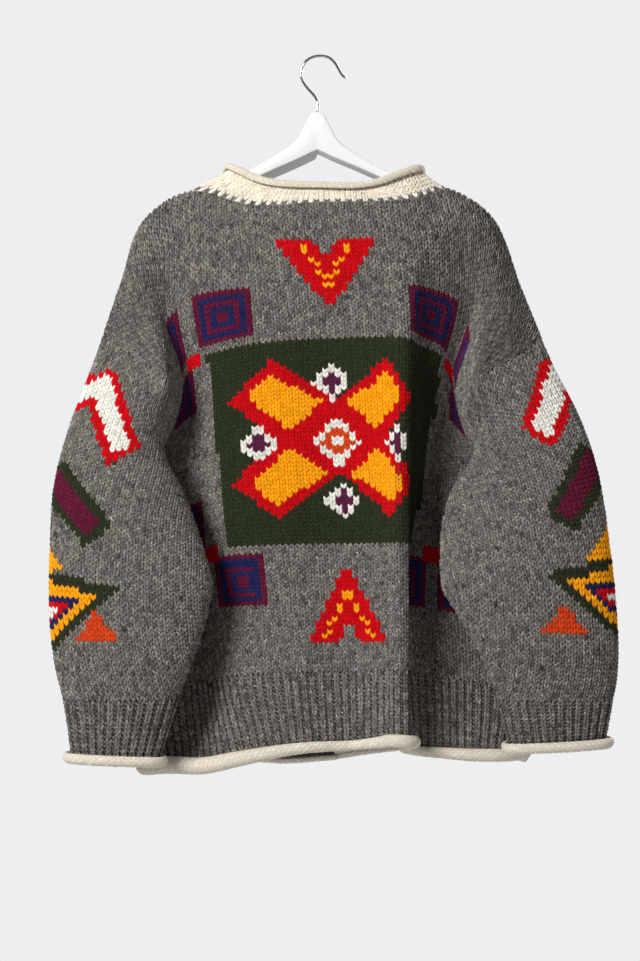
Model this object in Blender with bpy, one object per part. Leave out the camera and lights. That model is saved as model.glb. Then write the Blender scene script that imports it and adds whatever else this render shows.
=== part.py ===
"""A hand-knit cardigan hanging on a hanger, as separate closed solids.

The scene is in metres with Z up. The back of the cardigan faces -Y and its fronts
face +Y. Left and right are the wearer's. The origin lies under the top of the hook,
where a rail or a peg would carry it. Tables and sizes are in millimetres.
"""

import math

import bmesh
import bpy
import numpy as np

MM = 0.001
WALL = 4.0
SEAM_GAP = 0.34
ROLL_GAP = 0.7
ROWS_TO_HEM = 632.0
ROWS_TO_UNDERARM = 230.0
ROWS_TO_FRONT_NECK = 75.0
RIB_PITCH = 8.6
RIB_RAISE = 1.3
STRAP_RISE = 4.4
UNDER_STRAP_DROP = 1.0
ROLL_RADIUS_CUFF = 7.6
ROLL_RADIUS_COLLAR = 6.2
ROLL_SWEEP = 250.0
BUTTON_RADIUS = 11.0
BUTTON_THICKNESS = 4.2
BUTTON_ROWS = (100.0, 222.0, 344.0, 466.0, 588.0)
HANGER_CENTRE = -3.0
HANGER_THICKNESS = 14.0
HANGER_DEPTH = -2.0
HANGER_TILT = 0.01
WIRE_RADIUS = 1.8
HOOK_FOOT = -63.6

# Knitted rows counted down from the shoulder, in millimetres of cloth.
FALLS = (0.0, 12.0, 26.0, 42.0, 58.0, 75.0, 92.0, 115.0, 140.0, 170.0, 200.0, 230.0)
BODY_FALLS = FALLS + (262.0, 296.0, 330.0, 370.0, 410.0, 455.0, 500.0, 545.0)
RIB_FALLS = (545.0, 588.0, 632.0)

# Each panel is followed along named columns of its knit. In each table the first
# number of a row is how far down the cloth it lies, and the rest are the columns.
# Back columns: left edge, left flap, left valley, left rise, left middle, centre,
# right middle, before fold, fold crest, fold tuck, fold floor, right rise,
# right valley, right flap, right edge.
BACK_ACROSS = (
    (0, -250, -231, -206, -151, -80, 0, 54, 84, 101, 114, 124, 147, 200, 233, 256),
    (14, -238, -225, -201, -148, -78, 1, 59, 89, 105, 118, 130, 150, 196, 228, 243),
    (40, -216, -214, -192, -141, -72, 5, 67, 95, 111, 125, 137, 152, 189, 217, 221),
    (92, -174, -181, -181, -130, -64, 10, 72, 95, 110, 120, 135, 151, 177, 178, 172),
    (150, -174, -163, -157, -111, -58, 15, 74, 92, 104, 108, 121, 138, 155, 161, 169),
    (230, -213, -185, -150, -105, -54, 18, 74, 92, 102, 95, 117, 136, 155, 188, 217),
    (330, -248, -194, -143, -105, -47, 24, 74, 89, 101, 88, 110, 131, 150, 199, 253),
    (440, -257, -199, -148, -112, -40, 31, 74, 88, 100, 79, 103, 134, 164, 217, 266),
    (545, -243, -191, -143, -105, -31, 36, 76, 88, 100, 83, 105, 138, 176, 217, 257),
    (632, -202, -177, -132, -84, -22, 38, 76, 89, 101, 90, 110, 140, 175, 207, 239),
)
BACK_DEPTH = (
    (0, -30, -10, 0, -4, -34, -44, -42, -36, -31, -25, -19, -4, 0, -10, -30),
    (14, -37, -19, -13, -17, -40, -48, -46, -42, -38, -32, -26, -17, -13, -19, -37),
    (40, -52, -34, -24, -30, -47, -53, -52, -50, -46, -42, -38, -30, -24, -34, -52),
    (92, -72, -52, -24, -41, -53, -56, -60, -62, -58, -50, -42, -34, -22, -50, -73),
    (150, -46, -30, -18, -46, -55, -57, -66, -72, -68, -56, -38, -28, -14, -26, -46),
    (230, -8, -8, -8, -46, -56, -57, -72, -82, -76, -60, -32, -18, -8, -11, -8),
    (330, 11, -9, -12, -44, -56, -56, -74, -86, -80, -62, -30, -14, -12, -9, 11),
    (440, 11, -8, -8, -38, -52, -54, -72, -85, -79, -60, -28, -12, -8, -8, 11),
    (545, 4, -9, -12, -42, -52, -52, -72, -84, -79, -62, -32, -20, -14, -9, 4),
    (632, -8, -26, -36, -52, -58, -52, -70, -84, -80, -62, -32, -28, -28, -27, -5),
)
BACK_HEIGHT = (
    (0, -328, -265, -192, -158, -177, -175, -174, -172, -170, -167, -164, -155, -187, -270, -333),
    (14, -337, -274, -204, -173, -191, -189, -188, -186, -185, -182, -179, -171, -200, -280, -342),
    (40, -353, -306, -242, -203, -217, -220, -217, -216, -214, -213, -211, -208, -242, -303, -357),
    (92, -385, -341, -293, -276, -271, -271, -269, -269, -270, -271, -274, -280, -298, -346, -390),
    (150, -435, -395, -358, -341, -332, -328, -327, -328, -330, -332, -337, -344, -369, -405, -440),
    (230, -484, -459, -430, -414, -408, -406, -406, -408, -409, -410, -414, -421, -437, -469, -487),
    (330, -575, -542, -521, -510, -505, -504, -503, -503, -504, -506, -510, -515, -524, -542, -580),
    (440, -676, -641, -626, -617, -613, -612, -610, -609, -611, -613, -616, -621, -628, -642, -676),
    (545, -762, -740, -728, -721, -716, -715, -712, -711, -712, -715, -720, -724, -729, -737, -755),
    (632, -826, -824, -824, -811, -800, -797, -791, -788, -791, -799, -806, -809, -812, -813, -813),
)

# Front columns: side edge, flap, valley, chest, front edge.
FRONT_LEFT_ACROSS = (
    (0, -250, -231, -206, -179, -151),
    (14, -249, -229, -202, -175, -146),
    (40, -248, -224, -193, -162, -125),
    (58, -245, -220, -186, -137, -84),
    (75, -243, -218, -180, -100, -18),
    (150, -234, -200, -153, -82, -10),
    (230, -213, -182, -141, -73, -5),
    (330, -248, -200, -142, -68, 0),
    (440, -257, -200, -136, -63, 5),
    (545, -243, -194, -129, -58, 11),
    (632, -202, -164, -111, -46, 17),
)
FRONT_LEFT_DEPTH = (
    (0, -30, -10, 0, -1, -4),
    (14, -24, 0, 10, 10, 9),
    (40, -14, 8, 21, 24, 24),
    (58, -8, 15, 28, 33, 34),
    (75, -4, 20, 32, 37, 38),
    (150, 8, 31, 41, 44, 43),
    (230, -8, 30, 41, 47, 46),
    (330, 11, 36, 43, 49, 48),
    (440, 11, 36, 43, 49, 48),
    (545, 4, 24, 35, 43, 43),
    (632, -8, 14, 22, 30, 30),
)
FRONT_LEFT_HEIGHT = (
    (0, -328, -265, -192, -173, -158),
    (14, -340, -275, -205, -186, -174),
    (40, -358, -295, -238, -212, -201),
    (58, -371, -311, -257, -231, -222),
    (75, -384, -325, -272, -246, -238),
    (150, -442, -391, -346, -324, -317),
    (230, -484, -455, -414, -402, -397),
    (330, -575, -533, -509, -502, -500),
    (440, -676, -637, -619, -614, -612),
    (545, -762, -738, -725, -721, -720),
    (632, -826, -821, -817, -823, -819),
)
FRONT_RIGHT_ACROSS = (
    (0, 256, 233, 200, 173, 147),
    (14, 255, 232, 198, 170, 142),
    (40, 254, 227, 193, 161, 124),
    (58, 251, 222, 186, 139, 84),
    (75, 249, 220, 179, 98, 18),
    (150, 239, 205, 158, 92, 26),
    (230, 217, 188, 151, 88, 31),
    (330, 253, 205, 151, 91, 36),
    (440, 266, 209, 150, 93, 41),
    (545, 257, 214, 155, 99, 46),
    (632, 239, 201, 154, 102, 52),
)
FRONT_RIGHT_DEPTH = (
    (0, -30, -10, 0, -1, -4),
    (14, -24, 0, 10, 10, 9),
    (40, -14, 8, 21, 24, 24),
    (58, -8, 15, 28, 33, 34),
    (75, -4, 20, 32, 37, 42),
    (150, 8, 31, 41, 44, 47),
    (230, -8, 30, 41, 47, 50),
    (330, 11, 36, 43, 49, 52),
    (440, 11, 36, 43, 49, 52),
    (545, 4, 24, 35, 43, 47),
    (632, -5, 14, 20, 28, 34),
)
FRONT_RIGHT_HEIGHT = (
    (0, -333, -270, -187, -170, -155),
    (14, -344, -280, -201, -184, -172),
    (40, -362, -302, -238, -212, -201),
    (58, -376, -316, -258, -232, -222),
    (75, -389, -330, -275, -247, -238),
    (150, -446, -395, -349, -325, -316),
    (230, -487, -459, -416, -403, -397),
    (330, -580, -535, -512, -503, -500),
    (440, -676, -640, -620, -615, -612),
    (545, -755, -736, -724, -721, -720),
    (632, -813, -810, -807, -807, -813),
)

# Sleeve rings from armhole to cuff: share of the length, then across, depth and
# height of the outer fold and of the inner fold, and half the thickness between.
SLEEVE_LEFT = (
    (0.00, -250, -30, -328, -213, -8, -484, 28),
    (0.10, -267, -46, -368, -186, -38, -502, 30),
    (0.20, -281, -60, -409, -156, -62, -518, 31),
    (0.35, -297, -72, -484, -132, -76, -543, 31),
    (0.50, -304, -77, -557, -120, -84, -588, 31),
    (0.62, -306, -78, -620, -126, -86, -633, 29),
    (0.75, -302, -77, -688, -140, -85, -685, 27),
    (0.87, -290, -73, -745, -162, -80, -743, 22),
    (1.00, -281, -70, -808, -184, -74, -811, 15),
)
SLEEVE_RIGHT = (
    (0.00, 256, -30, -333, 217, -8, -487, 28),
    (0.10, 274, -46, -366, 183, -40, -500, 30),
    (0.20, 290, -60, -406, 155, -63, -515, 31),
    (0.35, 313, -72, -484, 133, -76, -540, 31),
    (0.50, 326, -77, -563, 130, -84, -583, 31),
    (0.62, 334, -78, -631, 150, -86, -633, 29),
    (0.75, 337, -77, -699, 180, -85, -687, 27),
    (0.87, 331, -73, -745, 203, -80, -744, 22),
    (1.00, 323, -70, -791, 217, -74, -796, 15),
)

# Top edge of the collar band from the left front round the back: across, depth, height.
COLLAR_TOP = (
    (-1, 24, -219),
    (-72, 23, -202),
    (-98, 18, -165),
    (-106, -3, -134),
    (-61, -25, -152),
    (0, -30, -158),
    (54, -28, -157),
    (116, -3, -135),
    (105, 18, -165),
    (77, 23, -202),
    (1, 24, -219),
)

# Outer radius of the rolled hem at each column named above.
HEM_ROLL_BACK = (11.0, 11.5, 11.0, 10.0, 7.6, 6.8, 8.6, 8.8, 8.6, 6.6, 6.8, 7.6, 8.4, 8.6, 7.0)
HEM_ROLL_FRONT = (10.0, 8.0, 7.0, 7.0, 7.0)

# Hanger bar from the centre out: distance, top, lower edge facing -Y and lower edge
# facing +Y of the left arm, and that last edge of the right arm.
HANGER = (
    (0, -64, -109, -118, -113),
    (7, -66, -112, -121, -116),
    (13, -76, -115, -124, -119),
    (24, -96, -120, -129, -124),
    (45, -112, -129, -138, -133),
    (67, -125, -139, -147, -143),
    (103, -144, -156, -163, -160),
    (151, -172, -183, -187, -186),
    (185, -190, -202, -205, -204),
    (195, -198, -207, -209, -209),
    (203, -205.5, -209.5, -210.5, -210.5),
)
# Wire of the hook from the bar up and round to its tip: across and height.
HOOK = (
    (-3, HOOK_FOOT),
    (-3, -52),
    (-6, -46),
    (-13, -38),
    (-19, -30),
    (-22.2, -21),
    (-21, -12),
    (-16.5, -4.5),
    (-9, 0.2),
    (0, 1.8),
    (9.5, 0.2),
    (17, -6),
    (22, -14),
    (25.5, -20),
    (30.4, -25),
)

GREY_WOOL = (0.13, 0.12, 0.115)
CREAM_WOOL = (0.80, 0.72, 0.58)
WHITE_PAINT = (0.85, 0.86, 0.87)
CHROME = (0.62, 0.63, 0.65)
HORN = (0.16, 0.11, 0.08)


def slopes(knots, values):
    """Slopes that keep a cubic through the values from overshooting them."""
    steps = np.diff(knots).reshape(-1, *([1] * (values.ndim - 1)))
    rises = np.diff(values, axis=0) / steps
    found = np.zeros_like(values)
    found[0] = rises[0]
    found[-1] = rises[-1]
    before = rises[:-1]
    after = rises[1:]
    first = 2 * steps[1:] + steps[:-1]
    second = steps[1:] + 2 * steps[:-1]
    same = before * after > 0
    safe_before = np.where(same, before, 1.0)
    safe_after = np.where(same, after, 1.0)
    mean = (first + second) / (first / safe_before + second / safe_after)
    found[1:-1] = np.where(same, mean, 0.0)
    return found


def cubic(start, start_slope, end, end_slope, share):
    """A cubic between two values whose slopes are already times the step."""
    squared = share**2
    cubed = share**3
    return (
        (2 * cubed - 3 * squared + 1) * start
        + (cubed - 2 * squared + share) * start_slope
        + (3 * squared - 2 * cubed) * end
        + (cubed - squared) * end_slope
    )


def eased(knots, values, wanted):
    """Values at the wanted places, along the first axis."""
    knots = np.asarray(knots, float)
    values = np.asarray(values, float)
    wanted = np.asarray(wanted, float)
    slope = slopes(knots, values)
    index = np.clip(np.searchsorted(knots, wanted, side="right") - 1, 0, len(knots) - 2)
    shape = (-1, *([1] * (values.ndim - 1)))
    step = (knots[index + 1] - knots[index]).reshape(shape)
    share = ((wanted - knots[index]).reshape(shape)) / step
    return cubic(
        values[index],
        slope[index] * step,
        values[index + 1],
        slope[index + 1] * step,
        share,
    )


def rounded(points, places):
    """Points on smooth curves through each row of points, at places counted in columns."""
    places = np.asarray(places, float)
    chords = np.sqrt(np.linalg.norm(np.diff(points, axis=1), axis=2, keepdims=True))
    chords = np.maximum(chords, 0.5)
    rises = np.diff(points, axis=1) / chords
    slope = np.empty_like(points)
    slope[:, 0] = rises[:, 0]
    slope[:, -1] = rises[:, -1]
    across = (points[:, 2:] - points[:, :-2]) / (chords[:, 1:] + chords[:, :-1])
    slope[:, 1:-1] = rises[:, :-1] - across + rises[:, 1:]
    index = np.clip(places.astype(int), 0, points.shape[1] - 2)
    step = chords[:, index]
    share = (places - index).reshape(1, -1, 1)
    return cubic(
        points[:, index],
        slope[:, index] * step,
        points[:, index + 1],
        slope[:, index + 1] * step,
        share,
    )


def panel(across, depth, height, falls, places):
    """The middle of a panel's cloth, as rows of points."""
    across = np.array(across, float)
    depth = np.array(depth, float)
    height = np.array(height, float)
    columns = np.stack([across[:, 1:], depth[:, 1:], height[:, 1:]], axis=2)
    return rounded(eased(across[:, 0], columns, falls), places)


def spread(counts):
    """Places for so many steps in each interval between columns."""
    found = [0.0]
    for interval, count in enumerate(counts):
        for step in range(count):
            found.append(interval + (step + 1) / count)
    return np.array(found)


def unit(vectors):
    return vectors / np.maximum(np.linalg.norm(vectors, axis=-1, keepdims=True), 1e-9)


def outward(grid, sign, closed=False):
    """Directions square to a grid of points."""
    if closed:
        along = np.roll(grid, -1, axis=1) - np.roll(grid, 1, axis=1)
    else:
        along = np.gradient(grid, axis=1)
    down = np.gradient(grid, axis=0)
    return sign * unit(np.cross(along, down))


def shared(first, second):
    return unit(unit(first) + unit(second))


def even_places(curve, places, count):
    """Places that divide a curve into equal lengths."""
    lengths = np.concatenate([[0.0], np.cumsum(np.linalg.norm(np.diff(curve, axis=0), axis=1))])
    return np.interp(np.linspace(0, lengths[-1], count + 1), lengths, places)


def bend_places(curve, normals, places, spacing, bend):
    """Places along a curve that come closer together where it bends."""
    steps = np.linalg.norm(np.diff(curve, axis=0), axis=1)
    travel = unit(np.gradient(curve, axis=0))
    turns = np.zeros(len(steps))
    for directions in (unit(normals), travel):
        cosines = (directions[1:] * directions[:-1]).sum(axis=1)
        turns = np.maximum(turns, np.arccos(np.clip(cosines, -1, 1)))
    spent = np.concatenate([[0.0], np.cumsum(steps / spacing + turns / bend)])
    count = max(4, math.ceil(spent[-1]))
    return np.interp(np.linspace(0, spent[-1], count + 1), spent, places)


def between(wanted, places, points):
    """Points read off straight lines between the points at the given places."""
    return np.stack([np.interp(wanted, places, points[:, axis]) for axis in range(3)], axis=1)


def length_of(curve):
    return float(np.linalg.norm(np.diff(curve, axis=0), axis=1).sum())


def plain_look(name, colour, roughness=0.95, metallic=0.0):
    material = bpy.data.materials.new(name)
    material.use_nodes = True
    shader = material.node_tree.nodes["Principled BSDF"]
    shader.inputs["Base Color"].default_value = (*colour, 1.0)
    shader.inputs["Roughness"].default_value = roughness
    shader.inputs["Metallic"].default_value = metallic
    material.diffuse_color = (*colour, 1.0)
    return material


def add_object(name, points, faces, look):
    """A closed mesh from points in millimetres, with its faces turned outwards."""
    mesh = bpy.data.meshes.new(name)
    mesh.from_pydata([tuple(point) for point in np.asarray(points) * MM], [], faces)
    shape = bmesh.new()
    shape.from_mesh(mesh)
    bmesh.ops.recalc_face_normals(shape, faces=shape.faces)
    if shape.calc_volume(signed=True) < 0:
        bmesh.ops.reverse_faces(shape, faces=shape.faces)
    shape.to_mesh(mesh)
    shape.free()
    mesh.materials.append(plain_look(name + "_look", *look))
    thing = bpy.data.objects.new(name, mesh)
    bpy.context.scene.collection.objects.link(thing)
    return thing


def drawn_in(sheet, top, bottom, first, last):
    """The sheet with each edge moved back by so many halves of the seam gap."""
    sheet = sheet.copy()
    half = SEAM_GAP / 2
    sheet[0] += top * half * unit(sheet[1] - sheet[0])
    sheet[-1] += bottom * half * unit(sheet[-2] - sheet[-1])
    sheet[:, 0] += first * half * unit(sheet[:, 1] - sheet[:, 0])
    sheet[:, -1] += last * half * unit(sheet[:, -2] - sheet[:, -1])
    return sheet


def edge_faces(points, corners):
    """The end of a wall as two triangles, split the same way on both pieces of a seam."""
    first, second, second_inner, first_inner = corners
    lean = np.array([0.55, 0.2, 0.81])
    if points[first] @ lean > points[second] @ lean:
        return [(first, second, second_inner), (first, second_inner, first_inner)]
    return [(first, second, first_inner), (second, second_inner, first_inner)]


def shell(name, middle, normals, look, seams=(1, 1, 1, 1), closed=False, raised=None):
    """Cloth of one wall thickness about a grid of middle points."""
    lift = np.zeros(middle.shape[:2]) if raised is None else raised
    outer = middle + normals * (WALL / 2 + lift)[..., None]
    inner = middle - normals * (WALL / 2)
    if closed:
        seams = (1, 1, 0, 0)
    outer = drawn_in(outer, *seams)
    inner = drawn_in(inner, *seams)
    rows, columns = middle.shape[:2]
    points = np.concatenate([outer.reshape(-1, 3), inner.reshape(-1, 3)])
    back = rows * columns
    faces = []
    steps = columns if closed else columns - 1
    for row in range(rows - 1):
        for column in range(steps):
            beside = (column + 1) % columns
            a = row * columns + column
            b = row * columns + beside
            c = (row + 1) * columns + beside
            d = (row + 1) * columns + column
            faces.append((a, b, c, d))
            faces.append((back + d, back + c, back + b, back + a))
    for column in range(steps):
        beside = (column + 1) % columns
        last = (rows - 1) * columns
        faces += edge_faces(points, (beside, column, back + column, back + beside))
        low, far = last + column, last + beside
        faces += edge_faces(points, (low, far, back + far, back + low))
    if not closed:
        for row in range(rows - 1):
            here = row * columns
            below = here + columns
            faces += edge_faces(points, (here, below, back + below, back + here))
            here += columns - 1
            below += columns - 1
            faces += edge_faces(points, (below, here, back + here, back + below))
    return add_object(name, points, faces, look)


def ring_solid(name, rings, look, closed=False):
    """A solid through a row of closed rings, capped at its ends unless it is closed."""
    rings = np.asarray(rings)
    count, around = rings.shape[:2]
    faces = []
    spans = count if closed else count - 1
    for ring in range(spans):
        following = (ring + 1) % count
        for corner in range(around):
            beside = (corner + 1) % around
            a = ring * around + corner
            b = ring * around + beside
            faces.append((a, b, following * around + beside, following * around + corner))
    if not closed:
        faces.append(tuple(reversed(range(around))))
        faces.append(tuple(range((count - 1) * around, count * around)))
    return add_object(name, rings.reshape(-1, 3), faces, look)


def roll_rings(edge, normals, downs, radii, steps=5):
    """Sections of a knitted edge that curls outwards from the edge of a panel."""
    rings = []
    turns = np.radians(np.linspace(0.0, ROLL_SWEEP, steps + 1))
    for point, normal, down, radius in zip(edge, normals, downs, radii, strict=True):
        middle = radius - WALL / 2
        centre = point + normal * middle + down * ROLL_GAP
        ring = []
        for reach, order in ((radius, turns), (max(middle - WALL / 2, 1.2), turns[::-1])):
            for turn in order:
                across = -normal * math.cos(turn)
                fallen = down * math.sin(turn)
                ring.append(centre + reach * (across + fallen))
        rings.append(ring)
    return rings


def edge_roll(name, edge, normals, downs, radii, spacing=26.0, bend=0.6, closed=False):
    """A rolled edge along a curve of points, at even spacing."""
    places = np.arange(len(edge), dtype=float)
    path = np.asarray(edge)
    if closed:
        path = np.concatenate([path, path[:1]])
        normals = np.concatenate([normals, normals[:1]])
        downs = np.concatenate([downs, downs[:1]])
        radii = np.append(radii, radii[0])
        places = np.arange(len(path), dtype=float)
    wanted = bend_places(path, normals, places, spacing, bend)
    if closed:
        wanted = wanted[:-1]
    gather = [between(wanted, places, table) for table in (path, normals, downs)]
    radii = np.interp(wanted, places, radii)
    rings = roll_rings(gather[0], unit(gather[1]), unit(gather[2]), radii)
    return ring_solid(name, rings, (CREAM_WOOL,), closed)


def ribs(count):
    """Raise of the outer points of alternate columns."""
    return np.where(np.arange(count) % 2 == 1, RIB_RAISE, 0.0)


# Steps between the columns of each panel.
BACK_STEPS = (4, 4, 4, 3, 3, 2, 2, 3, 3, 3, 2, 4, 4, 4)
FRONT_STEPS = (3, 3, 3, 3)
LEFT_NECK = 12
RIGHT_NECK = 33
BACK_TABLES = (BACK_ACROSS, BACK_DEPTH, BACK_HEIGHT)
FRONT_TABLES = {
    "left": (FRONT_LEFT_ACROSS, FRONT_LEFT_DEPTH, FRONT_LEFT_HEIGHT),
    "right": (FRONT_RIGHT_ACROSS, FRONT_RIGHT_DEPTH, FRONT_RIGHT_HEIGHT),
}
SIDE_COLUMN = {"left": 0.0, "right": 14.0}
FRONT_EDGE = 4.0


def front_points(hand, falls, places):
    """A front panel, whose shoulder and side seams follow the back's."""
    falls = np.asarray(falls, float)
    places = np.asarray(places, float)
    tables = FRONT_TABLES[hand]
    grid = panel(*tables, falls, places)
    step = 0.75 if hand == "left" else -0.75
    shoulder = panel(*BACK_TABLES, (0.0,), SIDE_COLUMN[hand] + step * places)
    fading = np.clip(1 - falls / 60.0, 0, 1)[:, None, None]
    grid = grid + fading * (shoulder - panel(*tables, (0.0,), places))
    edge = panel(*BACK_TABLES, falls, [SIDE_COLUMN[hand]])
    own = panel(*tables, falls, [0.0])
    below = (falls >= ROWS_TO_UNDERARM)[:, None, None]
    near_side = np.clip(1 - places, 0, 1)[None, :, None]
    grid = grid + below * near_side * (edge - own)
    if hand == "right":
        left_edge = panel(*FRONT_TABLES["left"], falls, [FRONT_EDGE])[:, :, 1]
        own_edge = panel(*tables, falls, [FRONT_EDGE])[:, :, 1]
        under_neck = (falls >= ROWS_TO_FRONT_NECK)[:, None]
        near_edge = np.clip(places - 2.0, 0, 2)[None] / 2
        grid[:, :, 1] += under_neck * near_edge * (left_edge + STRAP_RISE - own_edge)
    return grid


def body_panels():
    """Middle grids and outward directions of the back and both fronts."""
    grids = {
        "back": panel(*BACK_TABLES, BODY_FALLS, spread(BACK_STEPS)),
        "left": front_points("left", BODY_FALLS, spread(FRONT_STEPS)),
        "right": front_points("right", BODY_FALLS, spread(FRONT_STEPS)),
    }
    facing = {
        "back": outward(grids["back"], -1),
        "left": outward(grids["left"], 1),
        "right": outward(grids["right"], -1),
    }
    return grids, facing


def relaxed(rings, shares):
    """Rings drawn smooth near the armhole, whose own ring stays."""
    pull = np.clip(1.25 - shares / 0.45, 0, 1)[1:-1, None, None]
    for _ in range(35):
        around = (np.roll(rings, 1, axis=1) + np.roll(rings, -1, axis=1))[1:-1] / 2
        beside = (rings[:-2] + rings[2:]) / 2
        rings[1:-1] += pull * 0.5 * ((around + beside) / 2 - rings[1:-1])
    return rings


def sleeve_rings(table, rim, turns):
    """Rings of a sleeve from its armhole rim to its cuff."""
    table = np.array(table, float)
    shares = np.array([0, 0.05, 0.1, 0.16, 0.22, 0.29, 0.36, 0.43, 0.5, 0.57, 0.65, 0.73, 0.8, 0.87])
    cuff = np.array([0.87, 1.0])
    grids = []
    for wanted in (shares, cuff):
        ring = eased(table[:, 0], table[:, 1:], wanted)
        outer = ring[:, None, 0:3]
        inner = ring[:, None, 3:6]
        half = ring[:, None, 6:7]
        cosine = np.cos(turns)[None, :, None]
        sine = np.sin(turns)[None, :, None]
        middle = (outer + inner) / 2 + cosine * (outer - inner) / 2
        swell = np.sign(sine) * np.abs(sine) ** 0.8
        grids.append(middle + swell * half * np.array([0.0, -1.0, 0.0]))
    fading = np.clip(1 - shares / 0.42, 0, 1) ** 1.5
    grids[0] += fading[:, None, None] * (rim - grids[0][0])[None]
    grids[0] = relaxed(grids[0], shares)
    return grids


def make_sleeve(hand, table, back_edge, front_edge, sign, panel_facing):
    """Sleeve, cuff rib and rolled cuff of one arm."""
    turns_down = np.array(FALLS) / ROWS_TO_UNDERARM * math.pi
    rim = np.concatenate([back_edge, front_edge[-2:0:-1]])
    turns = np.concatenate([turns_down, 2 * math.pi - turns_down[-2:0:-1]])
    sleeve, cuff = sleeve_rings(table, rim, turns)
    facing = outward(sleeve, sign, closed=True)
    facing[0] = shared(facing[0], panel_facing)
    cuff_facing = outward(cuff, sign, closed=True)
    facing[-1] = cuff_facing[0]
    shell("sleeve_" + hand, sleeve, facing, (GREY_WOOL,), closed=True)
    ring_table = np.concatenate([cuff[0], cuff[0][:1]])
    places = np.arange(len(ring_table), dtype=float)
    count = 2 * round(length_of(ring_table) / RIB_PITCH)
    wanted = even_places(ring_table, places, count)[:-1]
    whole = np.concatenate([cuff, cuff[:, :1]], axis=1)
    normals = np.concatenate([cuff_facing, cuff_facing[:, :1]], axis=1)
    fine = np.stack([between(wanted, places, row) for row in whole])
    fine_facing = unit(np.stack([between(wanted, places, row) for row in normals]))
    lift = np.repeat(ribs(count)[None], len(fine), axis=0)
    shell("cuff_rib_" + hand, fine, fine_facing, (GREY_WOOL,), closed=True, raised=lift)
    downs = unit(cuff[-1] - cuff[-2])
    radii = np.full(len(cuff[-1]), ROLL_RADIUS_CUFF)
    edge_roll("cuff_roll_" + hand, cuff[-1], cuff_facing[-1], downs, radii, closed=True)
    return facing[0]


def rib_band(hand, grid, panel_facing):
    """The ribbed band under one panel: points, outward directions and columns."""
    fine_places = np.linspace(0, SIDE_COLUMN["right"] if hand == "back" else FRONT_EDGE, 241)

    def points(falls, places):
        if hand == "back":
            return panel(*BACK_TABLES, falls, places)
        return front_points(hand, falls, places)

    hem = points((ROWS_TO_HEM,), fine_places)[0]
    count = 2 * round(length_of(hem) / RIB_PITCH)
    wanted = even_places(hem, fine_places, count)
    band = points(RIB_FALLS, wanted)
    steps = spread(BACK_STEPS if hand == "back" else FRONT_STEPS)
    band[0] = between(wanted, steps, grid[-1])
    facing = outward(band, 1 if hand == "left" else -1)
    facing[0] = unit(between(wanted, steps, panel_facing[-1]))
    return band, facing, wanted


def strap_bands():
    """The under and over bands of the front opening, as grids that share a shape."""
    falls = BODY_FALLS[5:] + RIB_FALLS[1:]
    left = front_points("left", falls, [FRONT_EDGE])[:, 0]
    right = front_points("right", falls, [FRONT_EDGE])[:, 0]
    right = right - np.array([0.0, STRAP_RISE, 0.0])
    shares = np.linspace(0, 1, 4)[None, :, None]
    under = left[:, None] * (1 - shares) + right[:, None] * shares
    over = under + np.array([0.0, STRAP_RISE, 0.0])
    under[0, 2:, 2] -= UNDER_STRAP_DROP
    return falls, under, over


def collar_base(grids, under, over):
    """Neck edge from the left front round the back to the right front."""
    left = grids["left"][5:0:-1, -1]
    behind = grids["back"][0, LEFT_NECK : RIGHT_NECK + 1]
    right = grids["right"][1:6, -1]
    middle = (under[0, 0] + over[0, -1]) / 2
    first = np.array([middle[0] - 1.0, under[0, 0][1], middle[2]])
    last = np.array([middle[0] + 1.0, over[0, -1][1], middle[2]])
    base = np.concatenate([first[None], left, behind, right, last[None]])
    places = [0.0, 0.3, 1.0, 1.55, 2.1, 2.6]
    behind_places = np.interp(
        np.arange(LEFT_NECK, RIGHT_NECK + 1),
        [LEFT_NECK, 15, 18, 20, RIGHT_NECK],
        [3, 4, 5, 6, 7],
    )
    places = np.concatenate([places, behind_places, 10 - np.array(places[::-1])])
    return base, places


def make_button(name, centre, axis):
    """A round button with a raised rim, its back on the band."""
    across = unit(np.cross(axis, np.array([0.0, 0.0, 1.0])))
    up = np.cross(across, axis)
    profile = ((10.2, 0.0), (BUTTON_RADIUS, 1.2), (BUTTON_RADIUS, 3.0), (9.8, BUTTON_THICKNESS), (7.8, 3.3))
    rings = []
    for radius, rise in profile:
        ring = []
        for corner in range(12):
            turn = 2 * math.pi * corner / 12
            spoke = across * math.cos(turn) + up * math.sin(turn)
            ring.append(centre + axis * rise + spoke * radius)
        rings.append(ring)
    ring_solid(name, rings, (HORN, 0.35))


def make_hanger():
    """A painted bar, higher in the middle, with a rounded top and a slanted underside."""
    half = HANGER_THICKNESS / 2
    rings = []
    arms = [(-1, row) for row in HANGER[:0:-1]] + [(1, row) for row in HANGER]
    for side, row in arms:
        distance, top, low_back, low_left, low_right = row
        low_front = low_left if side < 0 else low_right
        across = HANGER_CENTRE + side * distance
        tilt = HANGER_TILT * side * distance
        top = top + tilt
        side_drop = min(6.5, 0.6 * (top - tilt - low_back))
        shape = (
            (-half, low_back + tilt),
            (-half, top - side_drop),
            (-half * 0.62, top - 0.28 * side_drop),
            (0.0, top),
            (half * 0.62, top - 0.28 * side_drop),
            (half, top - side_drop),
            (half, low_front + tilt),
        )
        rings.append([(across, HANGER_DEPTH + depth, height) for depth, height in shape])
    ring_solid("hanger", rings, (WHITE_PAINT, 0.45))


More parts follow.
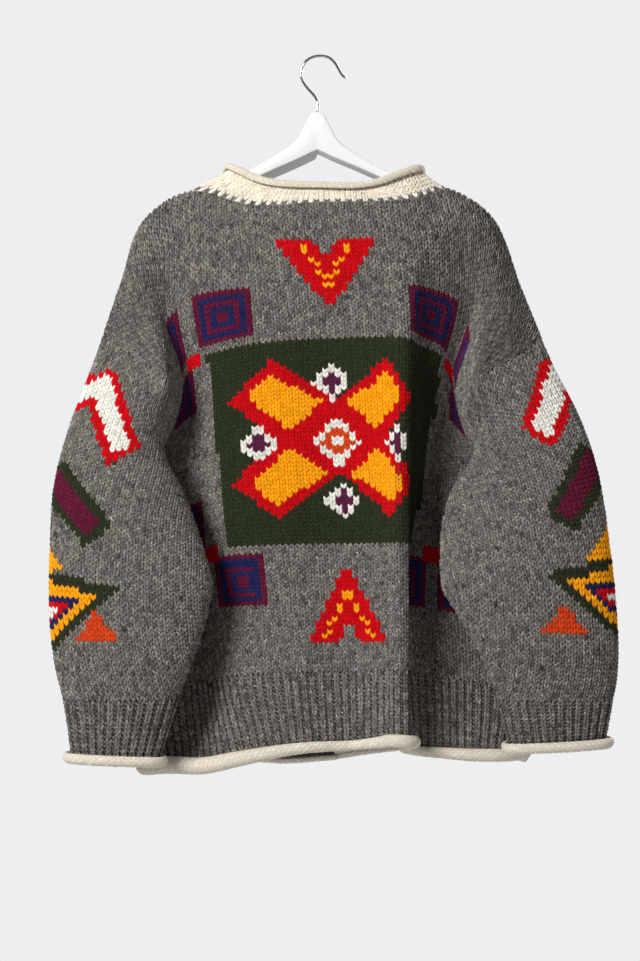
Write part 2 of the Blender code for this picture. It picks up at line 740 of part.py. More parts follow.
def make_hook():
    """The wire hook, a round wire along a smooth curve in the hanger's plane."""
    path = np.array(HOOK, float)
    places = np.linspace(0, len(path) - 1, 33)
    curve = rounded(np.stack([path[:, 0], np.zeros(len(path)), path[:, 1]], axis=1)[None], places)[0]
    curve[:, 1] = np.interp(curve[:, 2], [-64.0, -20.0], [HANGER_DEPTH, 0.0])
    travel = unit(np.gradient(curve, axis=0))
    side = unit(np.cross(travel, np.array([0.0, 1.0, 0.0])))
    other = np.cross(travel, side)
    rings = []
    for point, first, second in zip(curve, side, other, strict=True):
        ring = []
        for corner in range(6):
            turn = 2 * math.pi * corner / 6
            ring.append(point + WIRE_RADIUS * (math.cos(turn) * first + math.sin(turn) * second))
        rings.append(ring)
    ring_solid("hook", rings, (CHROME, 0.2, 1.0))


def main():
    for thing in list(bpy.data.objects):
        bpy.data.objects.remove(thing)
    grids, facing = body_panels()
    falls, under, over = strap_bands()
    base, top_places = collar_base(grids, under, over)
    top = rounded(np.array(COLLAR_TOP, float)[None], top_places)[0]
    shares = np.linspace(0, 1, 4)[:, None, None]
    collar = base[None] * (1 - shares) + top[None] * shares
    collar_facing = outward(collar, 1)
    under_facing = outward(under, 1)
    over_facing = under_facing.copy()
    underarm = len(FALLS) - 1
    seam = LEFT_NECK + 1

    # Pieces that meet share one direction along their seam, so that walls are mitred.
    for hand, columns in (("left", slice(0, seam)), ("right", slice(None, -seam - 1, -1))):
        shoulder = shared(facing["back"][0, columns], facing[hand][0])
        facing["back"][0, columns] = shoulder
        facing[hand][0] = shoulder
        column = 0 if hand == "left" else -1
        side = shared(facing["back"][underarm:, column], facing[hand][underarm:, 0])
        facing["back"][underarm:, column] = side
        facing[hand][underarm:, 0] = side
    neck = shared(collar_facing[0, 6:-6], facing["back"][0, LEFT_NECK : RIGHT_NECK + 1])
    collar_facing[0, 6:-6] = neck
    facing["back"][0, LEFT_NECK : RIGHT_NECK + 1] = neck
    facing["left"][0, -1] = neck[0]
    facing["right"][0, -1] = neck[-1]
    left_neck = shared(collar_facing[0, 5:0:-1], facing["left"][1:6, -1])
    right_neck = shared(collar_facing[0, -6:-1], facing["right"][1:6, -1])
    collar_facing[0, 5:0:-1] = left_neck
    collar_facing[0, -6:-1] = right_neck
    facing["left"][1:6, -1] = left_neck
    facing["right"][1:6, -1] = right_neck

    armholes = (
        ("left", SLEEVE_LEFT, 0, -1),
        ("right", SLEEVE_RIGHT, -1, 1),
    )
    for hand, table, column, sign in armholes:
        back_edge = grids["back"][: underarm + 1, column]
        front_edge = grids[hand][: underarm + 1, 0]
        panel_facing = np.concatenate(
            [
                facing["back"][: underarm + 1, column],
                facing[hand][: underarm + 1, 0][-2:0:-1],
            ]
        )
        rim_facing = make_sleeve(hand, table, back_edge, front_edge, sign, panel_facing)
        facing["back"][: underarm + 1, column] = rim_facing[: underarm + 1]
        facing[hand][1:underarm, 0] = rim_facing[:underarm:-1]
        facing[hand][0, 0] = rim_facing[0]
        facing[hand][underarm, 0] = rim_facing[underarm]

    bands = {hand: rib_band(hand, grids[hand], facing[hand]) for hand in ("back", "left", "right")}
    for hand, column in (("left", 0), ("right", -1)):
        side = shared(bands["back"][1][1:, column], bands[hand][1][1:, 0])
        bands["back"][1][1:, column] = side
        bands[hand][1][1:, 0] = side
    # The straps share the direction of the front edges beside them and of the collar.
    under_facing[0] = collar_facing[0, 1]
    over_facing[0] = collar_facing[0, -2]
    collar_facing[0, 0] = collar_facing[0, 1]
    collar_facing[0, -1] = collar_facing[0, -2]
    count = len(BODY_FALLS) - 5
    edges = (
        (under_facing, 0, "left"),
        (over_facing, -1, "right"),
    )
    for strap, column, hand in edges:
        beside = shared(strap[1:count, column], facing[hand][6:, -1])
        strap[1:count, column] = beside
        facing[hand][6:, -1] = beside
        strap[count:, column] = bands[hand][1][1:, -1]

    shell("back", grids["back"], facing["back"], (GREY_WOOL,))
    shell("front_left", grids["left"], facing["left"], (GREY_WOOL,))
    shell("front_right", grids["right"], facing["right"], (GREY_WOOL,))
    shell("collar", collar, collar_facing, (CREAM_WOOL,), seams=(1, 6, 1, 1))
    shell("front_strap_left", under, under_facing, (CREAM_WOOL,))
    shell("front_strap_right", over, over_facing, (CREAM_WOOL,))
    radii_of = {"back": HEM_ROLL_BACK, "left": HEM_ROLL_FRONT, "right": HEM_ROLL_FRONT}
    names = {"back": "back", "left": "front_left", "right": "front_right"}
    for hand, (band, band_facing, wanted) in bands.items():
        lift = np.repeat(ribs(len(wanted))[None], len(band), axis=0)
        shell(names[hand] + "_rib", band, band_facing, (GREY_WOOL,), raised=lift)
        edge = band[-1]
        normals = band_facing[-1]
        downs = unit(band[-1] - band[-2])
        radii = np.interp(wanted, np.arange(len(radii_of[hand])), radii_of[hand])
        if hand == "right":
            strap_down = unit(over[-1] - over[-2])[::-1]
            strap_edge = over[-1, ::-1].copy()
            strap_edge[-1] += 1.5 * unit(strap_edge[-2] - strap_edge[-1])
            edge = np.concatenate([edge, strap_edge[1:]])
            normals = np.concatenate([normals, over_facing[-1, ::-1][1:]])
            downs = np.concatenate([downs, strap_down[1:]])
            radii = np.append(radii, [radii[-1]] * 3)
        edge_roll(names[hand] + "_roll", edge, normals, downs, radii)
    ups = unit(collar[-1] - collar[-2])
    radii = np.full(len(ups), ROLL_RADIUS_COLLAR)
    edge_roll("collar_roll", collar[-1], collar_facing[-1], ups, radii, bend=0.5)
    for number, fall in enumerate(BUTTON_ROWS):
        row = [np.interp(fall, falls, over[:, 1:3, axis].mean(axis=1)) for axis in range(3)]
        axis = [np.interp(fall, falls, over_facing[:, 1, axis]) for axis in range(3)]
        axis = unit(np.array(axis))
        centre = np.array(row) + axis * (WALL / 2 + SEAM_GAP)
        make_button("button_" + str(number + 1), centre, axis)
    make_hanger()
    make_hook()


main()
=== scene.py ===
"""A bulky hand-knit cardigan on a hanger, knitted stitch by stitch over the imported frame.

Each knitted piece is a closed sheet of cloth with a lattice of stitches on its outer
face. The colour work is charted by simple rules, counted in stitches and rows from
the middle of the back and in millimetres from the fold of each sleeve. Tables and
sizes are in millimetres, and the back of the cardigan faces -Y.
"""

import math

import bpy
import numpy as np
from bpy.props import FloatProperty, FloatVectorProperty, PointerProperty
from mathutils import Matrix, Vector


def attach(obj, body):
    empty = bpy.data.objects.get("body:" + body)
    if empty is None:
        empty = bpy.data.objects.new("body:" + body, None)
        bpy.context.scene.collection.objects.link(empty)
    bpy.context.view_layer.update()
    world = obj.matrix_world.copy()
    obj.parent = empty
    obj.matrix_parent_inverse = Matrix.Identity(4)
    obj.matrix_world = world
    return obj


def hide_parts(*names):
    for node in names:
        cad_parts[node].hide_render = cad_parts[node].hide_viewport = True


bl_info = {
    "name": "Hand-knit cardigan",
    "version": (1, 0, 0),
    "blender": (4, 5, 0),
    "location": "3D View > Sidebar > Cardigan",
    "description": "Knits a cardigan on a hanger over its packed frame",
    "category": "Object",
}

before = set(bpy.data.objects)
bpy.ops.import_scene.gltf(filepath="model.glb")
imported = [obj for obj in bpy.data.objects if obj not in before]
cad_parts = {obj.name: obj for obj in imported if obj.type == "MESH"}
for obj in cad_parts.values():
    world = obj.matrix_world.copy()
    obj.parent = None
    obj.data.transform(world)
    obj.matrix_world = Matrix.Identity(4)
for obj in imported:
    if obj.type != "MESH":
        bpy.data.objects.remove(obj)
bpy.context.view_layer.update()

# Body rows: the first number is how far down the cloth a row lies, and the rest are
# the columns: left edge, left flap, left valley, left rise, left middle, centre,
# right middle, before fold, fold crest, fold tuck, fold floor, right rise,
# right valley, right flap, right edge.
BACK_ACROSS = (
    (0, -250, -231, -206, -151, -80, 0, 54, 84, 101, 114, 124, 147, 200, 233, 256),
    (14, -238, -225, -201, -148, -78, 1, 59, 89, 105, 118, 130, 150, 196, 228, 243),
    (40, -216, -214, -192, -141, -72, 5, 67, 95, 111, 125, 137, 152, 189, 217, 221),
    (92, -174, -181, -181, -130, -64, 10, 72, 95, 110, 120, 135, 151, 177, 178, 172),
    (150, -174, -163, -157, -111, -58, 15, 74, 92, 104, 108, 121, 138, 155, 161, 169),
    (230, -213, -185, -150, -105, -54, 18, 74, 92, 102, 95, 117, 136, 155, 188, 217),
    (330, -248, -194, -143, -105, -47, 24, 74, 89, 101, 88, 110, 131, 150, 199, 253),
    (440, -257, -199, -148, -112, -40, 31, 74, 88, 100, 79, 103, 134, 164, 217, 266),
    (545, -243, -191, -143, -105, -31, 36, 76, 88, 100, 83, 105, 138, 176, 217, 257),
    (632, -202, -177, -132, -84, -22, 38, 76, 89, 101, 90, 110, 140, 175, 207, 239),
)
BACK_DEPTH = (
    (0, -30, -10, 0, -4, -34, -44, -42, -36, -31, -25, -19, -4, 0, -10, -30),
    (14, -37, -19, -13, -17, -40, -48, -46, -42, -38, -32, -26, -17, -13, -19, -37),
    (40, -52, -34, -24, -30, -47, -53, -52, -50, -46, -42, -38, -30, -24, -34, -52),
    (92, -72, -52, -24, -41, -53, -56, -60, -62, -58, -50, -42, -34, -22, -50, -73),
    (150, -46, -30, -18, -46, -55, -57, -66, -72, -68, -56, -38, -28, -14, -26, -46),
    (230, -8, -8, -8, -46, -56, -57, -72, -82, -76, -60, -32, -18, -8, -11, -8),
    (330, 11, -9, -12, -44, -56, -56, -74, -86, -80, -62, -30, -14, -12, -9, 11),
    (440, 11, -8, -8, -38, -52, -54, -72, -85, -79, -60, -28, -12, -8, -8, 11),
    (545, 4, -9, -12, -42, -52, -52, -72, -84, -79, -62, -32, -20, -14, -9, 4),
    (632, -8, -26, -36, -52, -58, -52, -70, -84, -80, -62, -32, -28, -28, -27, -5),
)
BACK_HEIGHT = (
    (0, -328, -265, -192, -158, -177, -175, -174, -172, -170, -167, -164, -155, -187, -270, -333),
    (14, -337, -274, -204, -173, -191, -189, -188, -186, -185, -182, -179, -171, -200, -280, -342),
    (40, -353, -306, -242, -203, -217, -220, -217, -216, -214, -213, -211, -208, -242, -303, -357),
    (92, -385, -341, -293, -276, -271, -271, -269, -269, -270, -271, -274, -280, -298, -346, -390),
    (150, -435, -395, -358, -341, -332, -328, -327, -328, -330, -332, -337, -344, -369, -405, -440),
    (230, -484, -459, -430, -414, -408, -406, -406, -408, -409, -410, -414, -421, -437, -469, -487),
    (330, -575, -542, -521, -510, -505, -504, -503, -503, -504, -506, -510, -515, -524, -542, -580),
    (440, -676, -641, -626, -617, -613, -612, -610, -609, -611, -613, -616, -621, -628, -642, -676),
    (545, -762, -740, -728, -721, -716, -715, -712, -711, -712, -715, -720, -724, -729, -737, -755),
    (632, -826, -824, -824, -811, -800, -797, -791, -788, -791, -799, -806, -809, -812, -813, -813),
)

# Front columns: side edge, flap, valley, chest, front edge.
FRONT_LEFT_ACROSS = (
    (0, -250, -231, -206, -179, -151),
    (14, -249, -229, -202, -175, -146),
    (40, -248, -224, -193, -162, -125),
    (58, -245, -220, -186, -137, -84),
    (75, -243, -218, -180, -100, -18),
    (150, -234, -200, -153, -82, -10),
    (230, -213, -182, -141, -73, -5),
    (330, -248, -200, -142, -68, 0),
    (440, -257, -200, -136, -63, 5),
    (545, -243, -194, -129, -58, 11),
    (632, -202, -164, -111, -46, 17),
)
FRONT_LEFT_DEPTH = (
    (0, -30, -10, 0, -1, -4),
    (14, -24, 0, 10, 10, 9),
    (40, -14, 8, 21, 24, 24),
    (58, -8, 15, 28, 33, 34),
    (75, -4, 20, 32, 37, 38),
    (150, 8, 31, 41, 44, 43),
    (230, -8, 30, 41, 47, 46),
    (330, 11, 36, 43, 49, 48),
    (440, 11, 36, 43, 49, 48),
    (545, 4, 24, 35, 43, 43),
    (632, -8, 14, 22, 30, 30),
)
FRONT_LEFT_HEIGHT = (
    (0, -328, -265, -192, -173, -158),
    (14, -340, -275, -205, -186, -174),
    (40, -358, -295, -238, -212, -201),
    (58, -371, -311, -257, -231, -222),
    (75, -384, -325, -272, -246, -238),
    (150, -442, -391, -346, -324, -317),
    (230, -484, -455, -414, -402, -397),
    (330, -575, -533, -509, -502, -500),
    (440, -676, -637, -619, -614, -612),
    (545, -762, -738, -725, -721, -720),
    (632, -826, -821, -817, -823, -819),
)
FRONT_RIGHT_ACROSS = (
    (0, 256, 233, 200, 173, 147),
    (14, 255, 232, 198, 170, 142),
    (40, 254, 227, 193, 161, 124),
    (58, 251, 222, 186, 139, 84),
    (75, 249, 220, 179, 98, 18),
    (150, 239, 205, 158, 92, 26),
    (230, 217, 188, 151, 88, 31),
    (330, 253, 205, 151, 91, 36),
    (440, 266, 209, 150, 93, 41),
    (545, 257, 214, 155, 99, 46),
    (632, 239, 201, 154, 102, 52),
)
FRONT_RIGHT_DEPTH = (
    (0, -30, -10, 0, -1, -4),
    (14, -24, 0, 10, 10, 9),
    (40, -14, 8, 21, 24, 24),
    (58, -8, 15, 28, 33, 34),
    (75, -4, 20, 32, 37, 42),
    (150, 8, 31, 41, 44, 47),
    (230, -8, 30, 41, 47, 50),
    (330, 11, 36, 43, 49, 52),
    (440, 11, 36, 43, 49, 52),
    (545, 4, 24, 35, 43, 47),
    (632, -5, 14, 20, 28, 34),
)
FRONT_RIGHT_HEIGHT = (
    (0, -333, -270, -187, -170, -155),
    (14, -344, -280, -201, -184, -172),
    (40, -362, -302, -238, -212, -201),
    (58, -376, -316, -258, -232, -222),
    (75, -389, -330, -275, -247, -238),
    (150, -446, -395, -349, -325, -316),
    (230, -487, -459, -416, -403, -397),
    (330, -580, -535, -512, -503, -500),
    (440, -676, -640, -620, -615, -612),
    (545, -755, -736, -724, -721, -720),
    (632, -813, -810, -807, -807, -813),
)

# Sleeve rings from armhole to cuff: share of the length, then across, depth and
# height of the outer fold and of the inner fold, and half the thickness between.
SLEEVE_LEFT = (
    (0.00, -250, -30, -328, -213, -8, -484, 28),
    (0.10, -267, -46, -368, -186, -38, -502, 30),
    (0.20, -281, -60, -409, -156, -62, -518, 31),
    (0.35, -297, -72, -484, -132, -76, -543, 31),
    (0.50, -304, -77, -557, -120, -84, -588, 31),
    (0.62, -306, -78, -620, -126, -86, -633, 29),
    (0.75, -302, -77, -688, -140, -85, -685, 27),
    (0.87, -290, -73, -745, -162, -80, -743, 22),
    (1.00, -281, -70, -808, -184, -74, -811, 15),
)
SLEEVE_RIGHT = (
    (0.00, 256, -30, -333, 217, -8, -487, 28),
    (0.10, 274, -46, -366, 183, -40, -500, 30),
    (0.20, 290, -60, -406, 155, -63, -515, 31),
    (0.35, 313, -72, -484, 133, -76, -540, 31),
    (0.50, 326, -77, -563, 130, -84, -583, 31),
    (0.62, 334, -78, -631, 150, -86, -633, 29),
    (0.75, 337, -77, -699, 180, -85, -687, 27),
    (0.87, 331, -73, -745, 203, -80, -744, 22),
    (1.00, 323, -70, -791, 217, -74, -796, 15),
)

# Top edge of the collar band, outer radius of the rolled hem at each column, the
# hanger bar (distance from the centre, top, lower edges facing -Y and +Y) and the
# wire of the hook (across and height).
COLLAR_TOP = (
    (-1, 24, -219),
    (-72, 23, -202),
    (-98, 18, -165),
    (-106, -3, -134),
    (-61, -25, -152),
    (0, -30, -158),
    (54, -28, -157),
    (116, -3, -135),
    (105, 18, -165),
    (77, 23, -202),
    (1, 24, -219),
)
HEM_ROLL_BACK = (11.0, 11.5, 11.0, 10.0, 7.6, 6.8, 8.6, 8.8, 8.6, 6.6, 6.8, 7.6, 8.4, 8.6, 7.0)
HEM_ROLL_FRONT = (10.0, 8.0, 7.0, 7.0, 7.0)
HANGER = (
    (0, -64, -109, -118, -113),
    (7, -66, -112, -121, -116),
    (13, -76, -115, -124, -119),
    (24, -96, -120, -129, -124),
    (45, -112, -129, -138, -133),
    (67, -125, -139, -147, -143),
    (103, -144, -156, -163, -160),
    (151, -172, -183, -187, -186),
    (185, -190, -202, -205, -204),
    (195, -198, -207, -209, -209),
    (203, -205.5, -209.5, -210.5, -210.5),
)
HOOK = (
    (-3, -63.6),
    (-3, -52),
    (-6, -46),
    (-13, -38),
    (-19, -30),
    (-22.2, -21),
    (-21, -12),
    (-16.5, -4.5),
    (-9, 0.2),
    (0, 1.8),
    (9.5, 0.2),
    (17, -6),
    (22, -14),
    (25.5, -20),
    (30.4, -25),
)
BUTTON_FALLS = (100.0, 222.0, 344.0, 466.0, 588.0)

MM = 0.001
# The cloth's wall, how far stitches lie over its middle, and how far the cloth's own
# outer face lies below them.
WALL = 4.0
COVER = 1.0
CLOTH_SINK = 0.6

# Distances down the cloth from the shoulder, and the sleeve's share above its cuff.
ROWS_TO_FRONT_NECK = 75.0
ROWS_TO_UNDERARM = 230.0
ROWS_TO_RIB = 545.0
ROWS_TO_HEM = 632.0
CUFF_SHARE = 0.87
NECK_FALLS = (0.0, 12.0, 26.0, 42.0, 58.0, 75.0)
ARM_FALLS = (*NECK_FALLS, 92.0, 115.0, 140.0, 170.0, 200.0, 230.0)

# Columns: the last of the back, its centre, the last of a front, and how many of the
# back's columns a front's shoulder reaches over.
BACK_END = 14
CENTRE = 5
FRONT_EDGE = 4.0
SHOULDER_COLUMNS = 3
SIDE_COLUMN = {"left": 0.0, "right": 14.0}
# The front comes back to its own shape this far below the shoulder seam.
SHOULDER_FADE = 60.0

# How finely the rows of each panel are followed, and rows and columns of its cloth.
BACK_FINE = 421
BACK_GRID = (56, 169)
FRONT_FINE = 161
FRONT_GRID = (46, 57)
SLEEVE_FINE = 265
SLEEVE_GRID = (48, 73)
HEM_FINE = 281
CUFF_FINE = 177
CUFF_ROWS = 12
RIB_ROWS = 9
COLLAR_ROWS = 6
COLLAR_PITCH = 6.3
# Columns of stitches that a front may have, those on each side of a sleeve's fold, and
# the sleeve's rows. A sleeve's stitches are this much narrower.
FRONT_COLUMNS = 70
SLEEVE_COLUMNS = 36
SLEEVE_ROWS = 73
SLEEVE_TIGHTNESS = 0.96

# Columns of stitches of the back's middle, and most columns on each side of it. A side
# that is this wide beyond the middle has so many more.
EVEN_COLUMNS = 26
MOST_COLUMNS = 48
SIDE_WIDTH = 120
SIDE_COLUMNS = 17
LEAST_SIDE = 30.0
# The stitches draw in by this share from this far down to the rib, and one that is
# squeezed to less than this share of its width isn't knitted.
DRAWN_IN = 0.1
DRAWN_FROM = 330
LEAST_SHARE = 0.4

# The places round a sleeve count the rows of its armhole, behind and before. Then the
# shares of its length where it is shaped, the share that its armhole pulls on, how
# often it is smoothed, and how full its section is.
SLEEVE_ROUND = 2 * (len(ARM_FALLS) - 1)
SLEEVE_SHARES = (0, 0.05, 0.1, 0.16, 0.22, 0.29, 0.36, 0.43, 0.5, 0.57, 0.65, 0.73, 0.8, 0.87)
ARMHOLE_REACH = 0.42
SMOOTHING_ROUNDS = 35
SLEEVE_SWELL = 0.8

# The neck edge behind the collar, in steps along the shoulder line, and which point of
# the collar's top lies over the steps of its fronts and over some of its back.
BACK_STEPS = (4, 4, 4, 3, 3, 2, 2, 3, 3, 3, 2, 4, 4, 4)
LEFT_NECK = 12
RIGHT_NECK = 33
COLLAR_FRONT = (0.0, 0.3, 1.0, 1.55, 2.1, 2.6)
NECK_STEPS = (LEFT_NECK, 15, 18, 20, RIGHT_NECK)
NECK_PLACES = (3, 4, 5, 6, 7)
COLLAR_STEPS = 2 * len(COLLAR_FRONT) + RIGHT_NECK - LEFT_NECK

# Ribs: width of a ridge and a hollow, how far a ridge is raised and a hollow sunk, and
# half widths of their stitches, as shares of the pitch.
RIB_PITCH = 8.6
RIB_RAISE = 0.9
HOLLOW_SINK = 0.1
RIDGE_HALF = 0.33
HOLLOW_HALF = 0.26
# The upper strap lies this far over the under one. Then its stitches across, and rows
# and columns of its cloth.
STRAP_RISE = 4.4
OVER_STRAP = np.array([0.0, STRAP_RISE, 0.0])
STRAP_STITCHES = 5
STRAP_GRID = (60, 8)
# Rolled edges: the gap below the edge, how far they curl in degrees, steps round the
# curl, length of a step along it, how deep the outer face lies, and the least radius.
ROLL_GAP = 0.7
ROLL_SWEEP = 250.0
ROLL_STEPS = 12
ROLL_LENGTH = 4.5
ROLL_SKIN = 0.9
ROLL_CORE = 1.2
ROLL_RADIUS_CUFF = 7.6
ROLL_RADIUS_COLLAR = 6.2
# Bumps of a rolled edge: length along it, width round it, and depth.
BUMP_LENGTH = 6.4
BUMP_WIDTH = 4.4
BUMP_INSET = 1.0
# Shares across the upper strap where the right front's roll goes on, and its steps, and
# how far the left front's roll goes on to meet it.
STRAP_ROLL = (0.97, 0.04, 12)
ROLL_MEETING = 2.2
# A line near each edge gives its direction: millimetres above the hem, and shares of
# the sleeve and of the collar.
HEM_STEP = 20
CUFF_STEP = 0.96
COLLAR_STEP = 0.8

BACK_TABLES = (BACK_ACROSS, BACK_DEPTH, BACK_HEIGHT)
FRONT_TABLES = {
    "left": (FRONT_LEFT_ACROSS, FRONT_LEFT_DEPTH, FRONT_LEFT_HEIGHT),
    "right": (FRONT_RIGHT_ACROSS, FRONT_RIGHT_DEPTH, FRONT_RIGHT_HEIGHT),
}
SLEEVE_TABLES = {"left": SLEEVE_LEFT, "right": SLEEVE_RIGHT}
# How much fuller a sleeve is at each of its shares, outward and then inward.
SLEEVE_FULLNESS = {
    "left": (
        (0, 9, 13, 15, 15, 14, 12, 8, 3, 0, 0, 0, 0, 0),
        (0, 5, 10, 14, 16, 14, 11, 7, 3, 0, 0, 0, 0, 0),
    ),
    "right": (
        (0, 10, 16, 19, 19, 17, 13, 8, 3, 0, 0, 0, 0, 0),
        (0, 6, 13, 20, 24, 23, 19, 13, 6, 1, 0, 0, 0, 0),
    ),
}
YARNS = ("grey", "green", "red", "gold", "burgundy", "navy", "white", "plum", "orange", "cream")
GREY, GREEN, RED, GOLD, BURGUNDY, NAVY, WHITE, PLUM, ORANGE, CREAM = range(len(YARNS))

# Half of one knitted stitch: points along a leg as across, down, height and half
# width. Across and down count in stitches and rows, the others in millimetres.
FINE_LEG = (
    (0.07, -0.4, -0.6, 0.4),
    (0.14, -0.06, 0.9, 1.2),
    (0.26, 0.4, 1.6, 1.5),
    (0.38, 0.8, 1.3, 1.25),
    (0.47, 1.12, -0.2, 0.4),
)
LIGHT_LEG = (
    (0.07, -0.4, -0.6, 0.4),
    (0.18, 0.12, 1.4, 1.45),
    (0.35, 0.7, 1.4, 1.35),
    (0.47, 1.12, -0.2, 0.4),
)
# Outline of one stitch, with its two legs, as shares across and down.
CHEVRON = ((0.0, -0.42), (0.5, 0.12), (1.0, -0.42), (1.0, 0.6), (0.5, 1.14), (0.0, 0.6))
# A purl bump lies across its stitch.
PURL_BUMP = (
    (-0.15, 0.45, -1.0, 0.3),
    (0.2, 0.35, 0.6, 1.3),
    (0.8, 0.65, 0.6, 1.3),
    (1.15, 0.55, -1.0, 0.3),
)
# A bump of a rolled edge leans, as the turns of a rope do.
ROPE_BUMP = (
    (-0.15, 0.1, -1.4, 0.4),
    (0.25, 0.3, 0.7, 2.1),
    (0.75, 0.7, 0.7, 2.1),
    (1.15, 0.9, -1.4, 0.4),
)
# A knit stitch has two legs, the second mirrored, and a bump is one length of yarn.
TWO_LEGS = (False, True)
ONE_LENGTH = (False,)

# Stitches differ by these shares of their width and millimetres of height, their tones
# by these amounts for the stitch and for each leg, and the sides of a leg lie lower.
SHIFT_SPREAD = 0.035
RISE_SPREAD = 0.16
STITCH_TONE = 0.7
LEG_TONE = 0.9
SIDE_DROP = 1.5
STITCH_PROPORTION = (1.4, 1.0)
# The yarn behind a coloured stitch is darkened as painted shade between its legs, and lies just
# over the lattice.
BEHIND_SHADE = -6.0
BEHIND_LIFT = 0.1


def paint(red, green, blue):
    """A colour given in 0 to 255, as a shader takes it."""
    return tuple(((part / 255 + 0.055) / 1.055) ** 2.4 for part in (red, green, blue))


def colour_property(name, description, red, green, blue):
    """A colour that a user may change, from 0 to 255."""
    return FloatVectorProperty(
        name=name,
        description=description,
        default=paint(red, green, blue),
        subtype="COLOR",
        size=3,
        min=0.0,
        max=1.0,
    )


def power_property(name, description, default):
    """The power of a light, in watts."""
    return FloatProperty(
        name=name,
        description=description,
        default=default,
        min=0.0,
        max=500.0,
        unit="POWER",
    )


def length_property(name, description, default, low, high):
    """A length in metres, with its limits."""
    return FloatProperty(
        name=name,
        description=description,
        default=default,
        min=low,
        max=high,
        unit="LENGTH",
        subtype="DISTANCE",
    )


class KnitSizes(bpy.types.PropertyGroup):
    """Sizes of the stitches."""

    row_height: length_property("Row height", "Height of one knitted row", 0.005, 0.004, 0.008)
    stitch_width: length_property("Stitch width", "Width of one knitted stitch", 0.007, 0.006, 0.01)
    yarn_rise: length_property("Yarn rise", "How far stitches are raised", 0.0, -0.0005, 0.0005)
    unevenness: FloatProperty(
        name="Unevenness",
        description="How far stitches differ from each other",
        default=0.9,
        min=0.0,
        max=1.0,
    )


class YarnColours(bpy.types.PropertyGroup):
    """Colours of the yarns."""

    grey: colour_property("Grey", "Heather grey of the body and sleeves", 114, 108, 103)
    green: colour_property("Green", "Dark green field", 46, 52, 34)
    red: colour_property("Red", "Red motifs and outlines", 205, 8, 20)
    gold: colour_property("Gold", "Gold motifs", 255, 166, 18)
    burgundy: colour_property("Burgundy", "Burgundy squares and bands", 98, 24, 52)
    navy: colour_property("Navy", "Navy rings in the squares", 34, 38, 84)
    white: colour_property("White", "White diamonds and bands", 236, 232, 222)
    plum: colour_property("Plum", "Crosses in the small diamonds", 92, 34, 66)
    orange: colour_property("Orange red", "Figure in the middle diamond", 212, 70, 28)
    cream: colour_property("Cream", "Collar, straps and rolled edges", 238, 228, 209)


class TrimColours(bpy.types.PropertyGroup):
    """Colours of the buttons and of the hanger."""

    horn: colour_property("Buttons", "Brown horn of the buttons", 88, 62, 46)
    paint: colour_property("Hanger", "White paint of the hanger", 236, 238, 240)
    wire: colour_property("Hook", "Polished wire of the hook", 196, 198, 202)


class StudioSettings(bpy.types.PropertyGroup):
    """Camera, floor and light."""

    camera_distance: length_property("Camera distance", "From camera to hook", 2.6, 1.5, 6.0)
    camera_height: length_property("Camera height", "Up from the hook", -0.495, -2.0, 1.0)
    floor_height: length_property("Floor height", "Up from the hook", -1.5, -3.0, -0.9)
    key_power: power_property("Key light", "Power of the large light", 104.0)
    fill_power: power_property("Fill light", "Power of the weaker lights", 8.0)
    surround: colour_property("Surround", "Pale colour around the object", 237, 238, 240)


# Shapes of the cloth.


def even_places(curve, places, count):
    """Places that divide a curve into equal lengths."""
    lengths = np.concatenate([[0.0], np.cumsum(np.linalg.norm(np.diff(curve, axis=0), axis=1))])
    return np.interp(np.linspace(0, lengths[-1], count + 1), lengths, places)


def spread(counts):
    """Places for so many steps in each interval between columns."""
    found = [0.0]
    for interval, count in enumerate(counts):
        found += [interval + (step + 1) / count for step in range(count)]
    return np.array(found)


def slopes(knots, values):
    """Slopes that keep a cubic through the values from overshooting them."""
    steps = np.diff(knots).reshape(-1, *([1] * (values.ndim - 1)))
    rises = np.diff(values, axis=0) / steps
    found = np.zeros_like(values)
    found[0] = rises[0]
    found[-1] = rises[-1]
    before = rises[:-1]
    after = rises[1:]
    first = 2 * steps[1:] + steps[:-1]
    second = steps[1:] + 2 * steps[:-1]
    same = before * after > 0
    safe_before = np.where(same, before, 1.0)
    safe_after = np.where(same, after, 1.0)
    mean = (first + second) / (first / safe_before + second / safe_after)
    found[1:-1] = np.where(same, mean, 0.0)
    return found


def cubic(start, start_slope, end, end_slope, share):
    """A cubic between two values whose slopes are already times the step."""
    squared = share**2
    cubed = share**3
    return (
        (2 * cubed - 3 * squared + 1) * start
        + (cubed - 2 * squared + share) * start_slope
        + (3 * squared - 2 * cubed) * end
        + (cubed - squared) * end_slope
    )


def eased(knots, values, wanted):
    """Values at the wanted places, along the first axis."""
    knots = np.asarray(knots, float)
    values = np.asarray(values, float)
    wanted = np.asarray(wanted, float)
    slope = slopes(knots, values)
    index = np.clip(np.searchsorted(knots, wanted, side="right") - 1, 0, len(knots) - 2)
    shape = (-1, *([1] * (values.ndim - 1)))
    step = (knots[index + 1] - knots[index]).reshape(shape)
    share = ((wanted - knots[index]).reshape(shape)) / step
    start_slope = slope[index] * step
    end_slope = slope[index + 1] * step
    return cubic(values[index], start_slope, values[index + 1], end_slope, share)


